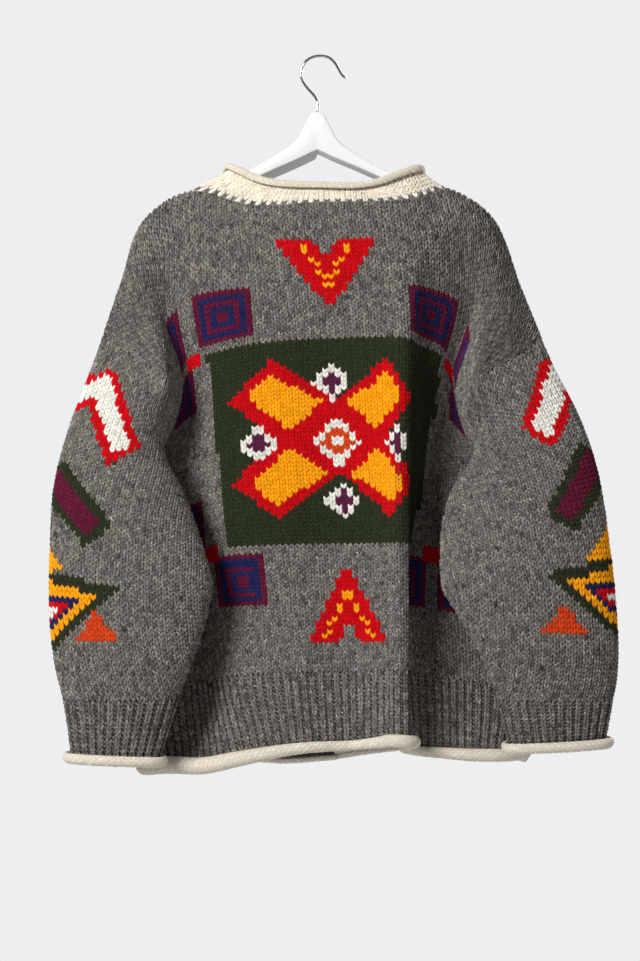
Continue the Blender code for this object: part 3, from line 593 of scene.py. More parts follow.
def rounded(points, places):
    """Points on smooth curves through each row of points, at places counted in columns."""
    places = np.asarray(places, float)
    chords = np.sqrt(np.linalg.norm(np.diff(points, axis=1), axis=2, keepdims=True))
    chords = np.maximum(chords, 0.5)
    rises = np.diff(points, axis=1) / chords
    slope = np.empty_like(points)
    slope[:, 0] = rises[:, 0]
    slope[:, -1] = rises[:, -1]
    across = (points[:, 2:] - points[:, :-2]) / (chords[:, 1:] + chords[:, :-1])
    slope[:, 1:-1] = rises[:, :-1] - across + rises[:, 1:]
    index = np.clip(places.astype(int), 0, points.shape[1] - 2)
    step = chords[:, index]
    share = (places - index).reshape(1, -1, 1)
    start_slope = slope[:, index] * step
    end_slope = slope[:, index + 1] * step
    return cubic(points[:, index], start_slope, points[:, index + 1], end_slope, share)


def panel(across, depth, height, falls, places):
    """The middle of a panel's cloth, as rows of points."""
    tables = np.array([across, depth, height], float)
    columns = np.moveaxis(tables[:, :, 1:], 0, 2)
    return rounded(eased(tables[0, :, 0], columns, falls), places)


def front_points(hand, falls, places):
    """A front panel, whose shoulder and side seams follow the back's."""
    falls = np.asarray(falls, float)
    places = np.asarray(places, float)
    tables = FRONT_TABLES[hand]
    grid = panel(*tables, falls, places)
    step = SHOULDER_COLUMNS / FRONT_EDGE * (1 if hand == "left" else -1)
    shoulder = panel(*BACK_TABLES, (0.0,), SIDE_COLUMN[hand] + step * places)
    fading = np.clip(1 - falls / SHOULDER_FADE, 0, 1)[:, None, None]
    grid = grid + fading * (shoulder - panel(*tables, (0.0,), places))
    edge = panel(*BACK_TABLES, falls, [SIDE_COLUMN[hand]])
    own = panel(*tables, falls, [0.0])
    below = (falls >= ROWS_TO_UNDERARM)[:, None, None]
    near_side = np.clip(1 - places, 0, 1)[None, :, None]
    grid = grid + below * near_side * (edge - own)
    if hand == "right":
        left_edge = panel(*FRONT_TABLES["left"], falls, [FRONT_EDGE])[:, :, 1]
        own_edge = panel(*tables, falls, [FRONT_EDGE])[:, :, 1]
        under_neck = (falls >= ROWS_TO_FRONT_NECK)[:, None]
        near_edge = np.clip(places - 2.0, 0, 2)[None] / 2
        grid[:, :, 1] += under_neck * near_edge * (left_edge + STRAP_RISE - own_edge)
    return grid


def body_points(part, falls, places):
    """The back or one of the fronts."""
    if part == "back":
        return panel(*BACK_TABLES, falls, places)
    return front_points(part, falls, places)


def unit(vectors):
    """Directions of length 1."""
    return vectors / np.maximum(np.linalg.norm(vectors, axis=-1, keepdims=True), 1e-9)


def outward(grid, sign, closed=False):
    """Directions square to a grid of points."""
    if closed:
        along = np.roll(grid, -1, axis=1) - np.roll(grid, 1, axis=1)
    else:
        along = np.gradient(grid, axis=1)
    down = np.gradient(grid, axis=0)
    return sign * unit(np.cross(along, down))


def run_lengths(rows):
    """Distance along each row of points from its first."""
    steps = np.linalg.norm(np.diff(rows, axis=1), axis=2)
    return np.concatenate([np.zeros((len(rows), 1)), np.cumsum(steps, axis=1)], axis=1)


def along_rows(rows, lengths, wanted):
    """Points at the wanted distances along each row."""
    found = np.empty((len(rows), wanted.shape[1], 3))
    for row in range(len(rows)):
        for axis in range(3):
            found[row, :, axis] = np.interp(wanted[row], lengths[row], rows[row, :, axis])
    return found


def sleeve_rings(hand, shares, turns):
    """Rings of a sleeve between its two folds, as they lie away from the armhole."""
    table = np.array(SLEEVE_TABLES[hand], float)
    ring = eased(table[:, 0], table[:, 1:], shares)
    outer = ring[:, None, 0:3]
    inner = ring[:, None, 3:6]
    half = ring[:, None, 6:7]
    cosine = np.cos(turns)[None, :, None]
    sine = np.sin(turns)[None, :, None]
    middle = (outer + inner) / 2 + cosine * (outer - inner) / 2
    swell = np.sign(sine) * np.abs(sine) ** SLEEVE_SWELL
    return middle + swell * half * np.array([0.0, -1.0, 0.0])


def sleeve_points(hand, shares, places):
    """A sleeve at places round it, which count the rows of its armhole from the shoulder."""
    down = np.array(ARM_FALLS) / ROWS_TO_UNDERARM * math.pi
    turns = np.concatenate([down, 2 * math.pi - down[-2:0:-1]])
    behind = panel(*BACK_TABLES, ARM_FALLS, [SIDE_COLUMN[hand]])[:, 0]
    before = front_points(hand, ARM_FALLS, [0.0])[:, 0]
    rim = np.concatenate([behind, before[-2:0:-1]])
    knots = np.array(SLEEVE_SHARES)
    rings = sleeve_rings(hand, knots, turns)
    fading = np.clip(1 - knots / ARMHOLE_REACH, 0, 1) ** 1.5
    rings += fading[:, None, None] * (rim - rings[0])[None]
    # The upper sleeve is drawn smooth between the armhole and its lower half.
    pull = np.clip(1.25 - knots / 0.45, 0, 1)[1:-1, None, None]
    for _ in range(SMOOTHING_ROUNDS):
        around = (np.roll(rings, 1, axis=1) + np.roll(rings, -1, axis=1))[1:-1] / 2
        beside = (rings[:-2] + rings[2:]) / 2
        rings[1:-1] += pull * 0.5 * ((around + beside) / 2 - rings[1:-1])
    outer, inner = (np.array(table, float)[:, None] for table in SLEEVE_FULLNESS[hand])
    share = (0.5 + 0.5 * np.cos(turns))[None]
    fullness = outer * share - inner * (1 - share)
    rings[:, :, 0] += fullness if hand == "right" else -fullness
    rings = np.concatenate([rings, sleeve_rings(hand, [1.0], turns)])
    lines = eased(np.append(knots, 1.0), rings, shares)
    wrapped = np.concatenate([lines[:, -2:], lines, lines[:, :3]], axis=1)
    return rounded(wrapped, np.asarray(places) % SLEEVE_ROUND + 2)


def strap_points(falls, shares):
    """The under band of the front opening."""
    left = front_points("left", falls, [FRONT_EDGE])[:, 0]
    right = front_points("right", falls, [FRONT_EDGE])[:, 0]
    right = right - OVER_STRAP
    shares = np.asarray(shares)[None, :, None]
    return left[:, None] * (1 - shares) + right[:, None] * shares


def collar_points(shares, steps):
    """The collar from the neck edge to its top, in steps from left front to right front."""
    left = front_points("left", NECK_FALLS, [FRONT_EDGE])[5:0:-1, 0]
    right = front_points("right", NECK_FALLS, [FRONT_EDGE])[1:6, 0]
    behind = panel(*BACK_TABLES, (0.0,), spread(BACK_STEPS))[0, LEFT_NECK : RIGHT_NECK + 1]
    under = strap_points((ROWS_TO_FRONT_NECK,), (0.0, 1.0))[0]
    middle = (under[0] + under[1] + OVER_STRAP) / 2
    first = np.array([middle[0] - 1.0, under[0, 1], middle[2]])
    last = np.array([middle[0] + 1.0, under[1, 1] + STRAP_RISE, middle[2]])
    base = np.concatenate([first[None], left, behind, right, last[None]])
    neck = np.interp(np.arange(LEFT_NECK, RIGHT_NECK + 1), NECK_STEPS, NECK_PLACES)
    right_front = len(COLLAR_TOP) - 1 - np.array(COLLAR_FRONT[::-1])
    places = np.concatenate([COLLAR_FRONT, neck, right_front])
    top_places = np.interp(steps, np.arange(len(places)), places)
    top = rounded(np.array(COLLAR_TOP, float)[None], top_places)[0]
    base = rounded(base[None], steps)[0]
    shares = np.asarray(shares)[:, None, None]
    return base[None] * (1 - shares) + top[None] * shares


# Stitches and cloth.


def add_piece(name, points, faces, looks, nodes=(), indices=None, tones=None):
    """A piece of the cardigan from points in millimetres."""
    mesh = bpy.data.meshes.new(name)
    mesh.from_pydata((np.asarray(points) * MM).tolist(), [], faces)
    for look in looks:
        mesh.materials.append(look)
    if indices is not None:
        mesh.polygons.foreach_set("material_index", np.asarray(indices, np.int32))
    attribute = mesh.attributes.new("tone", "FLOAT", "POINT")
    attribute.data.foreach_set("value", np.zeros(len(points)) if tones is None else tones)
    mesh.polygons.foreach_set("use_smooth", np.ones(len(mesh.polygons), bool))
    mesh.update()
    piece = bpy.data.objects.new(name, mesh)
    bpy.context.scene.collection.objects.link(piece)
    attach(piece, "root")
    if nodes:
        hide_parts(*nodes)
    return piece


def corners_of(left, right, keep=None):
    """The four corners of the stitches between lines of knit."""
    if keep is None:
        keep = np.ones((left.shape[0] - 1, left.shape[1]), bool)
    return np.stack([left[:-1][keep], right[:-1][keep], left[1:][keep], right[1:][keep]])


def lean(points):
    """Directions square to each stitch."""
    across = points[1] - points[0] + points[3] - points[2]
    down = points[2] - points[0] + points[3] - points[1]
    return unit(np.cross(across, down))


def yarn_strips(corners, facing, strip, lift, seed, mirrored, uneven):
    """Short lengths of yarn over stitches: points, faces and tones.

    Each strip has a point at each end and rows of three points between them.
    """
    dice = np.random.default_rng(seed)
    count = corners.shape[1]
    tone = dice.normal(0.0, 1.0, count)
    size = np.linalg.norm(corners[1] - corners[0] + corners[3] - corners[2], axis=1) / 2
    tall = np.linalg.norm(corners[2] - corners[0] + corners[3] - corners[1], axis=1) / 2
    all_points = []
    all_faces = []
    all_tones = []
    start = 0
    for flip in mirrored:
        shift = dice.normal(0.0, SHIFT_SPREAD * uneven, (count, 2))
        rise = dice.normal(0.0, RISE_SPREAD * uneven, count)
        rows = []
        table = np.array(strip)
        travel = np.gradient(table[:, :2] * np.array(STITCH_PROPORTION), axis=0)
        travel /= np.linalg.norm(travel, axis=1, keepdims=True)
        for index, (across, down, height, half) in enumerate(table):
            side = (0.0,) if index in (0, len(table) - 1) else (-1.0, 0.0, 1.0)
            for step in side:
                away = step * half
                u = across + shift[:, 0] + away * travel[index, 1] / np.maximum(size, 2.0)
                v = down + shift[:, 1] - away * travel[index, 0] / np.maximum(tall, 2.0)
                u = 1 - u if flip else u
                drop = SIDE_DROP if step else 0.0
                raised = facing * (lift + height - drop + rise)[:, None]
                rows.append(place_in(corners, u, v) + raised)
        points = np.stack(rows, axis=1)
        faces = strip_faces(len(table), flip)
        base = start + np.arange(count)[:, None, None] * points.shape[1]
        triangles = np.array([face for face in faces if len(face) == 3])
        quads = np.array([face for face in faces if len(face) == 4])
        all_faces.append((base + triangles[None], base + quads[None]))
        all_points.append(points.reshape(-1, 3))
        leg_tone = STITCH_TONE * tone + dice.normal(0.0, LEG_TONE, count)
        all_tones.append(np.repeat(leg_tone, points.shape[1]))
        start += count * points.shape[1]
    return np.concatenate(all_points), all_faces, np.concatenate(all_tones)


def place_in(corners, u, v):
    """Points at shares across and down each stitch."""
    u = u[:, None]
    v = v[:, None]
    above = corners[0] * (1 - u) + corners[1] * u
    below = corners[2] * (1 - u) + corners[3] * u
    return above * (1 - v) + below * v


def strip_faces(rows, flip):
    """Faces of one length of yarn, pointed at both ends."""
    faces = [(0, 1, 2), (0, 2, 3)]
    for row in range(rows - 3):
        a = 1 + 3 * row
        faces += [(a, a + 3, a + 4, a + 1), (a + 1, a + 4, a + 5, a + 2)]
    a = 1 + 3 * (rows - 3)
    faces += [(a, a + 3, a + 1), (a + 1, a + 3, a + 2)]
    return [face[::-1] for face in faces] if flip else faces


def add_stitches(name, lattices):
    """One piece from lattices of stitches: corners, sign, strip, lift, yarns, mirrored."""
    uneven = bpy.context.scene.cardigan_knit.unevenness
    extra = bpy.context.scene.cardigan_knit.yarn_rise / MM
    points = []
    faces = []
    indices = []
    tones = []
    start = 0
    for seed, (corners, sign, strip, lift, yarns, mirrored) in enumerate(lattices):
        facing = sign * lean(corners)
        lifts = np.full(corners.shape[1], lift + extra)
        seed += 7 * len(name)
        more, sets, tone = yarn_strips(corners, facing, strip, lifts, seed, mirrored, uneven)
        for triangles, quads in sets:
            for group in (triangles, quads):
                turned = group[..., ::-1] if sign > 0 else group
                faces += (turned + start).reshape(-1, turned.shape[-1]).tolist()
                indices.append(np.repeat(yarns, turned.shape[1]))
        points.append(more)
        tones.append(tone)
        start += len(more)
        # Coloured stitches have their own yarn behind them, where the cloth would show, darkened as
        # painted shade.
        behind = np.flatnonzero((yarns != GREY) & (yarns != CREAM))
        if len(behind):
            raised = (facing * (lifts + BEHIND_LIFT)[:, None])[behind]
            ones = np.ones(len(behind))
            corners = corners[:, behind]
            backing = [place_in(corners, u * ones, v * ones) + raised for u, v in CHEVRON]
            total = len(CHEVRON) * len(behind)
            order = np.arange(total).reshape(len(CHEVRON), -1) + start
            quads = np.concatenate([order[[0, 1, 4, 5]].T, order[[1, 2, 3, 4]].T])
            faces += (quads[:, ::-1] if sign < 0 else quads).tolist()
            indices.append(np.tile(yarns[behind], 2))
            points.append(np.concatenate(backing))
            # A low tone paints shade on the yarn behind coloured stitches.
            tones.append(np.full(total, BEHIND_SHADE))
            start += total
    indices = np.concatenate(indices)
    used = np.unique(indices)
    looks = [yarn_look(YARNS[index]) for index in used]
    return add_piece(
        name,
        np.concatenate(points),
        faces,
        looks,
        indices=np.searchsorted(used, indices),
        tones=np.concatenate(tones),
    )


def add_cloth(name, grid, sign, yarn, node, closed=False, raised=None):
    """The closed sheet of cloth that the stitches of a piece lie on."""
    normals = outward(grid, sign, closed)
    lift = np.zeros(grid.shape[:2]) if raised is None else raised
    outer = grid + normals * (COVER - CLOTH_SINK + lift)[..., None]
    inner = grid - normals * (WALL / 2)
    rows, columns = grid.shape[:2]
    back = rows * columns
    steps = columns if closed else columns - 1
    row = np.arange(rows - 1)[:, None]
    column = np.arange(steps)[None]
    beside = (column + 1) % columns
    a = (row * columns + column).ravel()
    b = (row * columns + beside).ravel()
    c = ((row + 1) * columns + beside).ravel()
    d = ((row + 1) * columns + column).ravel()
    faces = [np.stack([a, b, c, d], axis=1), back + np.stack([d, c, b, a], axis=1)]
    low = (rows - 1) * columns
    first = column.ravel()
    second = beside.ravel()
    faces.append(np.stack([second, first, back + first, back + second], axis=1))
    under = back + low
    faces.append(np.stack([low + first, low + second, under + second, under + first], axis=1))
    if not closed:
        here = row.ravel() * columns
        below = here + columns
        faces.append(np.stack([here, below, back + below, back + here], axis=1))
        here = here + columns - 1
        below = below + columns - 1
        faces.append(np.stack([below, here, back + here, back + below], axis=1))
    faces = np.concatenate(faces)
    if sign < 0:
        faces = faces[:, ::-1]
    points = np.concatenate([outer.reshape(-1, 3), inner.reshape(-1, 3)])
    # The cloth's colour is darkened as painted shade where it shows between the stitches.
    look = yarn_look(yarn, under=True)
    return add_piece(name, points, faces.tolist(), [look], [node])


def declare(grid, closed):
    """Works out how far a sheet of cloth runs across and down, and its area, but keeps none of
    them.
    """
    rows = np.concatenate([grid, grid[:, :1]], axis=1) if closed else grid
    across = np.linalg.norm(np.diff(rows, axis=1), axis=2).sum(axis=1).max()
    down = np.linalg.norm(np.diff(rows, axis=0), axis=2).sum(axis=0).max()
    # Each cell of the grid is two triangles.
    upper = np.cross(rows[1:, :-1] - rows[:-1, :-1], rows[:-1, 1:] - rows[:-1, :-1])
    lower = np.cross(rows[1:, :-1] - rows[1:, 1:], rows[:-1, 1:] - rows[1:, 1:])
    area = (np.linalg.norm(upper, axis=2) + np.linalg.norm(lower, axis=2)).sum() / 2
    area = min(area, across * down)


def columns_from(rows, middle, bounds):
    """Ends of the stitches along lines of knit, and which are wide enough to knit."""
    lengths = run_lengths(rows)
    wanted = middle[:, None] + bounds
    held = np.clip(wanted, 0.0, lengths[:, -1:])
    points = along_rows(rows, lengths, held)
    share = np.diff(held, axis=1) / np.maximum(np.diff(wanted, axis=1), 1e-6)
    return points, (share[:-1] > LEAST_SHARE) & (share[1:] > LEAST_SHARE)


def rib_lattices(line_points, curve, places, rows, sign):
    """Stitches of a rib of one knit and one purl column, raised and sunk in turn."""
    lengths = np.concatenate([[0.0], np.cumsum(np.linalg.norm(np.diff(curve, axis=0), axis=1))])
    count = 2 * round(lengths[-1] / RIB_PITCH)
    pitch = 2 * lengths[-1] / count
    ridges = (np.arange(count // 2) + 0.5) * pitch
    hollows = np.arange(1, count // 2) * pitch
    found = []
    for centres, half, strip, lift, mirrored in (
        (ridges, RIDGE_HALF * pitch, LIGHT_LEG, COVER + RIB_RAISE, TWO_LEGS),
        (hollows, HOLLOW_HALF * pitch, PURL_BUMP, COVER - HOLLOW_SINK, ONE_LENGTH),
    ):
        left = line_points(rows, np.interp(centres - half, lengths, places))
        right = line_points(rows, np.interp(centres + half, lengths, places))
        corners = corners_of(left, right)
        yarns = np.full(corners.shape[1], GREY)
        found.append((corners, sign, strip, lift, yarns, mirrored))
    return found, count


# Colour work. Columns count in stitches from the centre of the back, and falls are
# millimetres down from the shoulder.

# Nested squares at the corners of the field: column and fall of the middle, half
# columns and half height. Then their bands from the edge in, and how many columns show
# beside each armhole above a fall, where the cloth turns away.
SQUARES = (
    (18.4, 121, 4.9, 25),
    (31.0, 127, 4.9, 24),
    (29.6, 193, 4.9, 27),
    (18.4, 436, 4.7, 30),
    (30.0, 436, 4.7, 30),
    (30.0, 360, 4.7, 30),
)
SQUARE_BANDS = ((1.0, BURGUNDY), (0.8, NAVY), (0.6, BURGUNDY), (0.42, NAVY), (0.22, BURGUNDY))
SHOWN_COLUMNS = ((165, 29.8), (240, 30.6), (ROWS_TO_RIB, 36.0))
# Red squares between them: column and fall, half columns and half height.
RED_SQUARES = ((24.5, 157), (23.5, 401))
RED_HALF = (1.6, 9)
# The green field: falls of its top and foot, half columns at the top, and how many
# millimetres of fall it takes to lose one.
FIELD = (155, 397, 21.6, 115)
# A quarter of the cross in the field, in millimetres from its middle.
CROSS_FALL = 272
CROSS_EDGE = ((0, 42), (73, 95), (124, 50), (72, 0), (0, 0))
CROSS_LOBE = ((14, 43), (76, 77), (103, 52), (55, 10))
SMALL_DIAMONDS = ((-3, -66), (3, 73), (-91, 5), (91, 5))
# Red Vs above and below the field: fall of the tip, which way the arms go from it, fall
# of their ends, length, half columns there, fall and slope of the notch between the
# arms, and fall and slope of the gold flecks along them.
RED_VS = (
    (118, -1, 41, 77.0, 8.3, 61, 0.11, 97, 14.8),
    (422, 1, 510, 88.0, 7.2, 482, 0.07, 446, 13.5),
)


def diamond(across, down, half_across, half_down):
    """Which points lie in a diamond about the origin."""
    return np.abs(across) / half_across + np.abs(down) / half_down <= 1


def inside(x, y, corners):
    """Which points lie in a shape whose corners run clockwise, with y up."""
    found = np.ones(x.shape, bool)
    for (a, b), (c, d) in zip(corners, (*corners[1:], corners[0]), strict=True):
        found &= (c - a) * (y - b) <= (d - b) * (x - a)
    return found


def back_chart(column, fall):
    """Yarn of each stitch of the back."""
    # Stitches in the fold right of the centre show less of their width.
    hidden = 2.6 * np.clip((column - 13) / 5, 0, 1) * np.clip((fall - 150) / 70, 0, 1)
    side = np.abs(column) - hidden
    yarn = np.full(column.shape, GREY)
    limits = np.array(SHOWN_COLUMNS)
    shown = side < limits[np.searchsorted(limits[:-1, 0], fall, side="right"), 1]
    for middle, height, wide, tall in SQUARES:
        reach = np.maximum(np.abs(side - middle) / wide, np.abs(fall - height) / tall)
        for limit, look in SQUARE_BANDS:
            yarn[(reach <= limit) & shown] = look
    for middle, height in RED_SQUARES:
        yarn[(np.abs(side - middle) < RED_HALF[0]) & (np.abs(fall - height) < RED_HALF[1])] = RED
    # A green field with four gold lobes in red about a white diamond.
    top, foot, half, taper = FIELD
    yarn[(side <= half - (fall - top) / taper) & (fall > top) & (fall < foot)] = GREEN
    # Stitches right of the centre are stretched less, so the figure takes fewer of them.
    x = 7.0 * (column + 0.025 * np.maximum(column, 0) ** 2)
    y = fall - CROSS_FALL
    yarn[inside(np.abs(x), np.abs(y), CROSS_EDGE)] = RED
    yarn[inside(np.abs(x), np.abs(y), CROSS_LOBE)] = GOLD
    for place, height in SMALL_DIAMONDS:
        yarn[diamond(x - place, y - height, 23, 23)] = WHITE
        cross = np.minimum(np.abs(x - place), np.abs(y - height) * 0.8) < 4
        yarn[cross & diamond(x - place, y - height, 12, 14)] = PLUM
    yarn[diamond(x, y - 4, 29, 32)] = WHITE
    yarn[diamond(x, y - 4, 21, 19)] = ORANGE
    yarn[(np.abs(x) < 3.6) & (np.abs(y - 4) < 5)] = WHITE
    flecked_rows = np.floor(fall / 5.0) % 3 < 2
    for tip, way, end, length, half, notch, opening, fleck, step in RED_VS:
        depth = way * (fall - tip)
        arm = (depth > 0) & (way * (fall - end) < 0) & (side <= half * depth / length + 0.3)
        arm &= side > way * (fall - notch) * opening
        yarn[arm] = RED
        place = way * (fall - fleck) / step
        near = (np.abs(side - place) < 0.5) & (place > 0) & (place < 4.2)
        yarn[arm & flecked_rows & near] = GOLD
    return yarn


# Bands of a sleeve: distance from the outer fold and height of each bend, half width,
# and the width of the outline. Then a nest of diamonds centred on the fold, and two
# triangles: distance and height of the tip, height of the foot, and half width there.
SLEEVE_CHARTS = {
    "left": {
        "bands": (
            (((-12, -404), (20, -388), (68, -461)), 9.7, 8.7, WHITE, RED),
            (((0, -494), (50, -551)), 10.5, 9.5, BURGUNDY, GREEN),
        ),
        "nest": -644,
        "triangles": ((0, -572, -598, 19, GOLD), (54, -644, -674, 25, ORANGE)),
    },
    "right": {
        "bands": (
            (((0, -376), (52, -441)), 10.4, 8.5, WHITE, RED),
            (((3, -473), (48, -535)), 10.5, 9.5, BURGUNDY, GREEN),
        ),
        "nest": -628,
        "triangles": ((0, -551, -585, 31, GOLD), (61, -636, -667, 29, ORANGE)),
    },
}


# The nest's diamonds: half width, half height and yarn. They rise away from the fold.
NEST = (
    (79, 45, GREEN),
    (54, 35, GOLD),
    (36, 20, NAVY),
    (27, 13, RED),
    (15, 7, WHITE),
)
NEST_SLANT = 0.35
# How far a band and its outline reach past the bends.
BAND_CORNER = 8
OUTLINE_CORNER = 12


def sleeve_chart(hand, aside, height):
    """Yarn of each stitch of a sleeve, by distance in from its outer fold and by height."""
    chart = SLEEVE_CHARTS[hand]
    yarn = np.full(aside.shape, GREY)
    for bends, half, outline, look, outer_look in chart["bands"]:
        band = np.full(aside.shape, np.inf)
        edge = np.full(aside.shape, np.inf)
        for (a, b), (c, d) in zip(bends[:-1], bends[1:], strict=True):
            size = math.hypot(c - a, d - b)
            along = ((aside - a) * (c - a) + (height - b) * (d - b)) / size
            off = np.abs((aside - a) * (d - b) - (height - b) * (c - a)) / size
            last = (c, d) == bends[-1]
            held = (along > -BAND_CORNER) & (along < size + (0 if last else BAND_CORNER))
            band = np.where(held, np.minimum(band, off), band)
            end = outline if last else OUTLINE_CORNER
            held = (along > -OUTLINE_CORNER) & (along < size + end)
            edge = np.where(held, np.minimum(edge, off), edge)
        yarn[edge < half + outline] = outer_look
        yarn[band < half] = look
    down = height - chart["nest"] - NEST_SLANT * aside
    for half_across, half_down, look in NEST:
        yarn[diamond(aside, down, half_across, half_down)] = look
    for tip, top, foot, half, look in chart["triangles"]:
        share = (top - height) / (top - foot)
        within = np.abs(aside - tip) < half * np.clip(share, 0.12, 1)
        yarn[(share > -0.05) & (share < 1) & within] = look
    return yarn


# Materials.


def new_look(name, colour, roughness):
    """A material with a plain base, its nodes and its links."""
    material = bpy.data.materials.new(name)
    material.use_nodes = True
    material.diffuse_color = (*colour, 1.0)
    nodes = material.node_tree.nodes
    shader = nodes["Principled BSDF"]
    shader.inputs["Base Color"].default_value = (*colour, 1.0)
    shader.inputs["Roughness"].default_value = roughness
    place = nodes.new("ShaderNodeTexCoord")
    return material, nodes, material.node_tree.links, shader, place


def noise(nodes, links, place, scale, detail=3.0, stretch=None):
    """Noise over the object's own space, in features per metre."""
    source = place.outputs["Object"]
    if stretch:
        mapping = nodes.new("ShaderNodeMapping")
        mapping.inputs["Scale"].default_value = stretch
        links.new(source, mapping.inputs["Vector"])
        source = mapping.outputs["Vector"]
    texture = nodes.new("ShaderNodeTexNoise")
    texture.inputs["Scale"].default_value = scale
    texture.inputs["Detail"].default_value = detail
    links.new(source, texture.inputs["Vector"])
    return texture.outputs["Fac"]


def ramp(nodes, links, factor, stops):
    """Colours read off a value."""
    found = nodes.new("ShaderNodeValToRGB")
    elements = found.color_ramp.elements
    while len(elements) < len(stops):
        elements.new(0.5)
    for element, (place, colour) in zip(elements, stops, strict=True):
        element.position = place
        element.color = (*colour, 1.0)
    links.new(factor, found.inputs["Fac"])
    return found.outputs["Color"]


def bump(nodes, links, height, shader, strength, distance):
    """Fine relief from a value."""
    found = nodes.new("ShaderNodeBump")
    found.inputs["Strength"].default_value = strength
    found.inputs["Distance"].default_value = distance
    links.new(height, found.inputs["Height"])
    links.new(found.outputs["Normal"], shader.inputs["Normal"])


def shade(colour, share):
    """A lighter or darker shade of a colour."""
    return tuple(min(1.0, part * share) for part in colour)


def dye(nodes, links, factor, shader, colour, shares):
    """Colours the base by a value, in shares of one colour."""
    stops = tuple((place, shade(colour, share)) for place, share in shares)
    links.new(ramp(nodes, links, factor, stops), shader.inputs["Base Color"])


def roughen(nodes, links, factor, shader, first, last):
    """Roughness that goes from one level to another with a value."""
    stops = ((0.3, (first,) * 3), (0.7, (last,) * 3))
    links.new(ramp(nodes, links, factor, stops), shader.inputs["Roughness"])


# Shares of a yarn's colour over its fibres.
FLECKED_WOOL = ((0.3, 0.35), (0.43, 0.78), (0.55, 1.15), (0.67, 2.3))
DARK_WOOL = ((0.3, 0.6), (0.5, 1.0), (0.72, 1.5))
PALE_WOOL = ((0.3, 0.8), (0.5, 1.0), (0.72, 1.12))
FIBRES = 600.0
FUZZ = 1500.0


def yarn_look(yarn, under=False):
    """Wool with fibres, uneven dye and, on the grey, light and dark flecks."""
    name = yarn + ("_cloth" if under else "_yarn")
    if name in bpy.data.materials:
        return bpy.data.materials[name]
    colour = tuple(getattr(bpy.context.scene.cardigan_yarns, yarn))
    # The cloth under the stitches is darkened, the grey's far more, as painted shade in the gaps
    # between the stitches.
    if under:
        colour = shade(colour, 0.32 if yarn == "grey" else 0.8)
    if yarn == "grey":
        shares = FLECKED_WOOL
    elif yarn in ("burgundy", "navy", "green"):
        shares = DARK_WOOL
    else:
        shares = PALE_WOOL
    material, nodes, links, shader, place = new_look(name, colour, 0.95)
    fibres = noise(nodes, links, place, FIBRES, 5.0)
    stops = tuple((level, shade(colour, share)) for level, share in shares)
    # Each stitch is a little lighter or darker than its neighbours, and the same value darkens the
    # yarn behind coloured stitches as painted shade.
    tone = nodes.new("ShaderNodeAttribute")
    tone.attribute_name = "tone"
    level = nodes.new("ShaderNodeMath")
    level.operation = "MULTIPLY_ADD"
    level.inputs[1].default_value = 0.2 if yarn == "grey" else 0.07
    level.inputs[2].default_value = 1.0
    links.new(tone.outputs["Fac"], level.inputs[0])
    tint = nodes.new("ShaderNodeHueSaturation")
    links.new(level.outputs["Value"], tint.inputs["Value"])
    links.new(ramp(nodes, links, fibres, stops), tint.inputs["Color"])
    links.new(tint.outputs["Color"], shader.inputs["Base Color"])
    shader.inputs["Sheen Weight"].default_value = 0.03
    shader.inputs["Sheen Roughness"].default_value = 0.5
    shader.inputs["Specular IOR Level"].default_value = 0.08
    bump(nodes, links, noise(nodes, links, place, FUZZ, 2.0), shader, 0.55, 0.0008)
    return material


def paint_look():
    """White satin paint with slight brush marks and handling marks."""
    colour = tuple(bpy.context.scene.cardigan_trims.paint)
    material, nodes, links, shader, place = new_look("hanger_paint", colour, 0.4)
    marks = noise(nodes, links, place, 35.0, 5.0, (0.25, 1.0, 1.6))
    dye(nodes, links, marks, shader, colour, ((0.3, 0.9), (0.6, 1.0)))
    roughen(nodes, links, marks, shader, 0.5, 0.33)
    brush = noise(nodes, links, place, 260.0, 3.0, (0.12, 1.0, 1.0))
    bump(nodes, links, brush, shader, 0.2, 0.0004)
    return material


def wire_look():
    """Polished wire with fine marks."""
    colour = tuple(bpy.context.scene.cardigan_trims.wire)
    material, nodes, links, shader, place = new_look("hook_wire", colour, 0.2)
    shader.inputs["Metallic"].default_value = 1.0
    marks = noise(nodes, links, place, 900.0)
    dye(nodes, links, marks, shader, colour, ((0.3, 0.8), (0.6, 1.0)))
    roughen(nodes, links, marks, shader, 0.3, 0.14)
    return material


def horn_look():
    """Brown horn with pale and dark streaks."""
    colour = tuple(bpy.context.scene.cardigan_trims.horn)
    material, nodes, links, shader, place = new_look("button_horn", colour, 0.35)
    streaks = noise(nodes, links, place, 160.0, 4.0, (0.35, 1.0, 1.5))
    dye(nodes, links, streaks, shader, colour, ((0.3, 0.35), (0.5, 1.0), (0.68, 2.6)))
    shader.inputs["Coat Weight"].default_value = 0.2
    bump(nodes, links, streaks, shader, 0.1, 0.0003)
    return material


def hole_shade_look():
    """Near-black painted shade for the inside of a button's hole, a little uneven."""
    colour = (0.01, 0.008, 0.007)
    material, nodes, links, shader, place = new_look("button_hole", colour, 0.9)
    uneven_shade = noise(nodes, links, place, 900.0)
    stops = ((0.3, (0.006, 0.005, 0.004)), (0.7, (0.02, 0.016, 0.013)))
    links.new(ramp(nodes, links, uneven_shade, stops), shader.inputs["Base Color"])
    return material


def floor_look():
    """Pale matt floor with a slight unevenness."""
    colour = tuple(bpy.context.scene.cardigan_studio.surround)
    material, nodes, links, shader, place = new_look("studio_floor", colour, 0.9)
    cloud = noise(nodes, links, place, 1.2)
    dye(nodes, links, cloud, shader, colour, ((0.3, 0.6), (0.7, 0.63)))
    return material


def look_once(name, maker):
    """A material by its name, made when it is first asked for."""
    return bpy.data.materials[name] if name in bpy.data.materials else maker()


# Pieces.


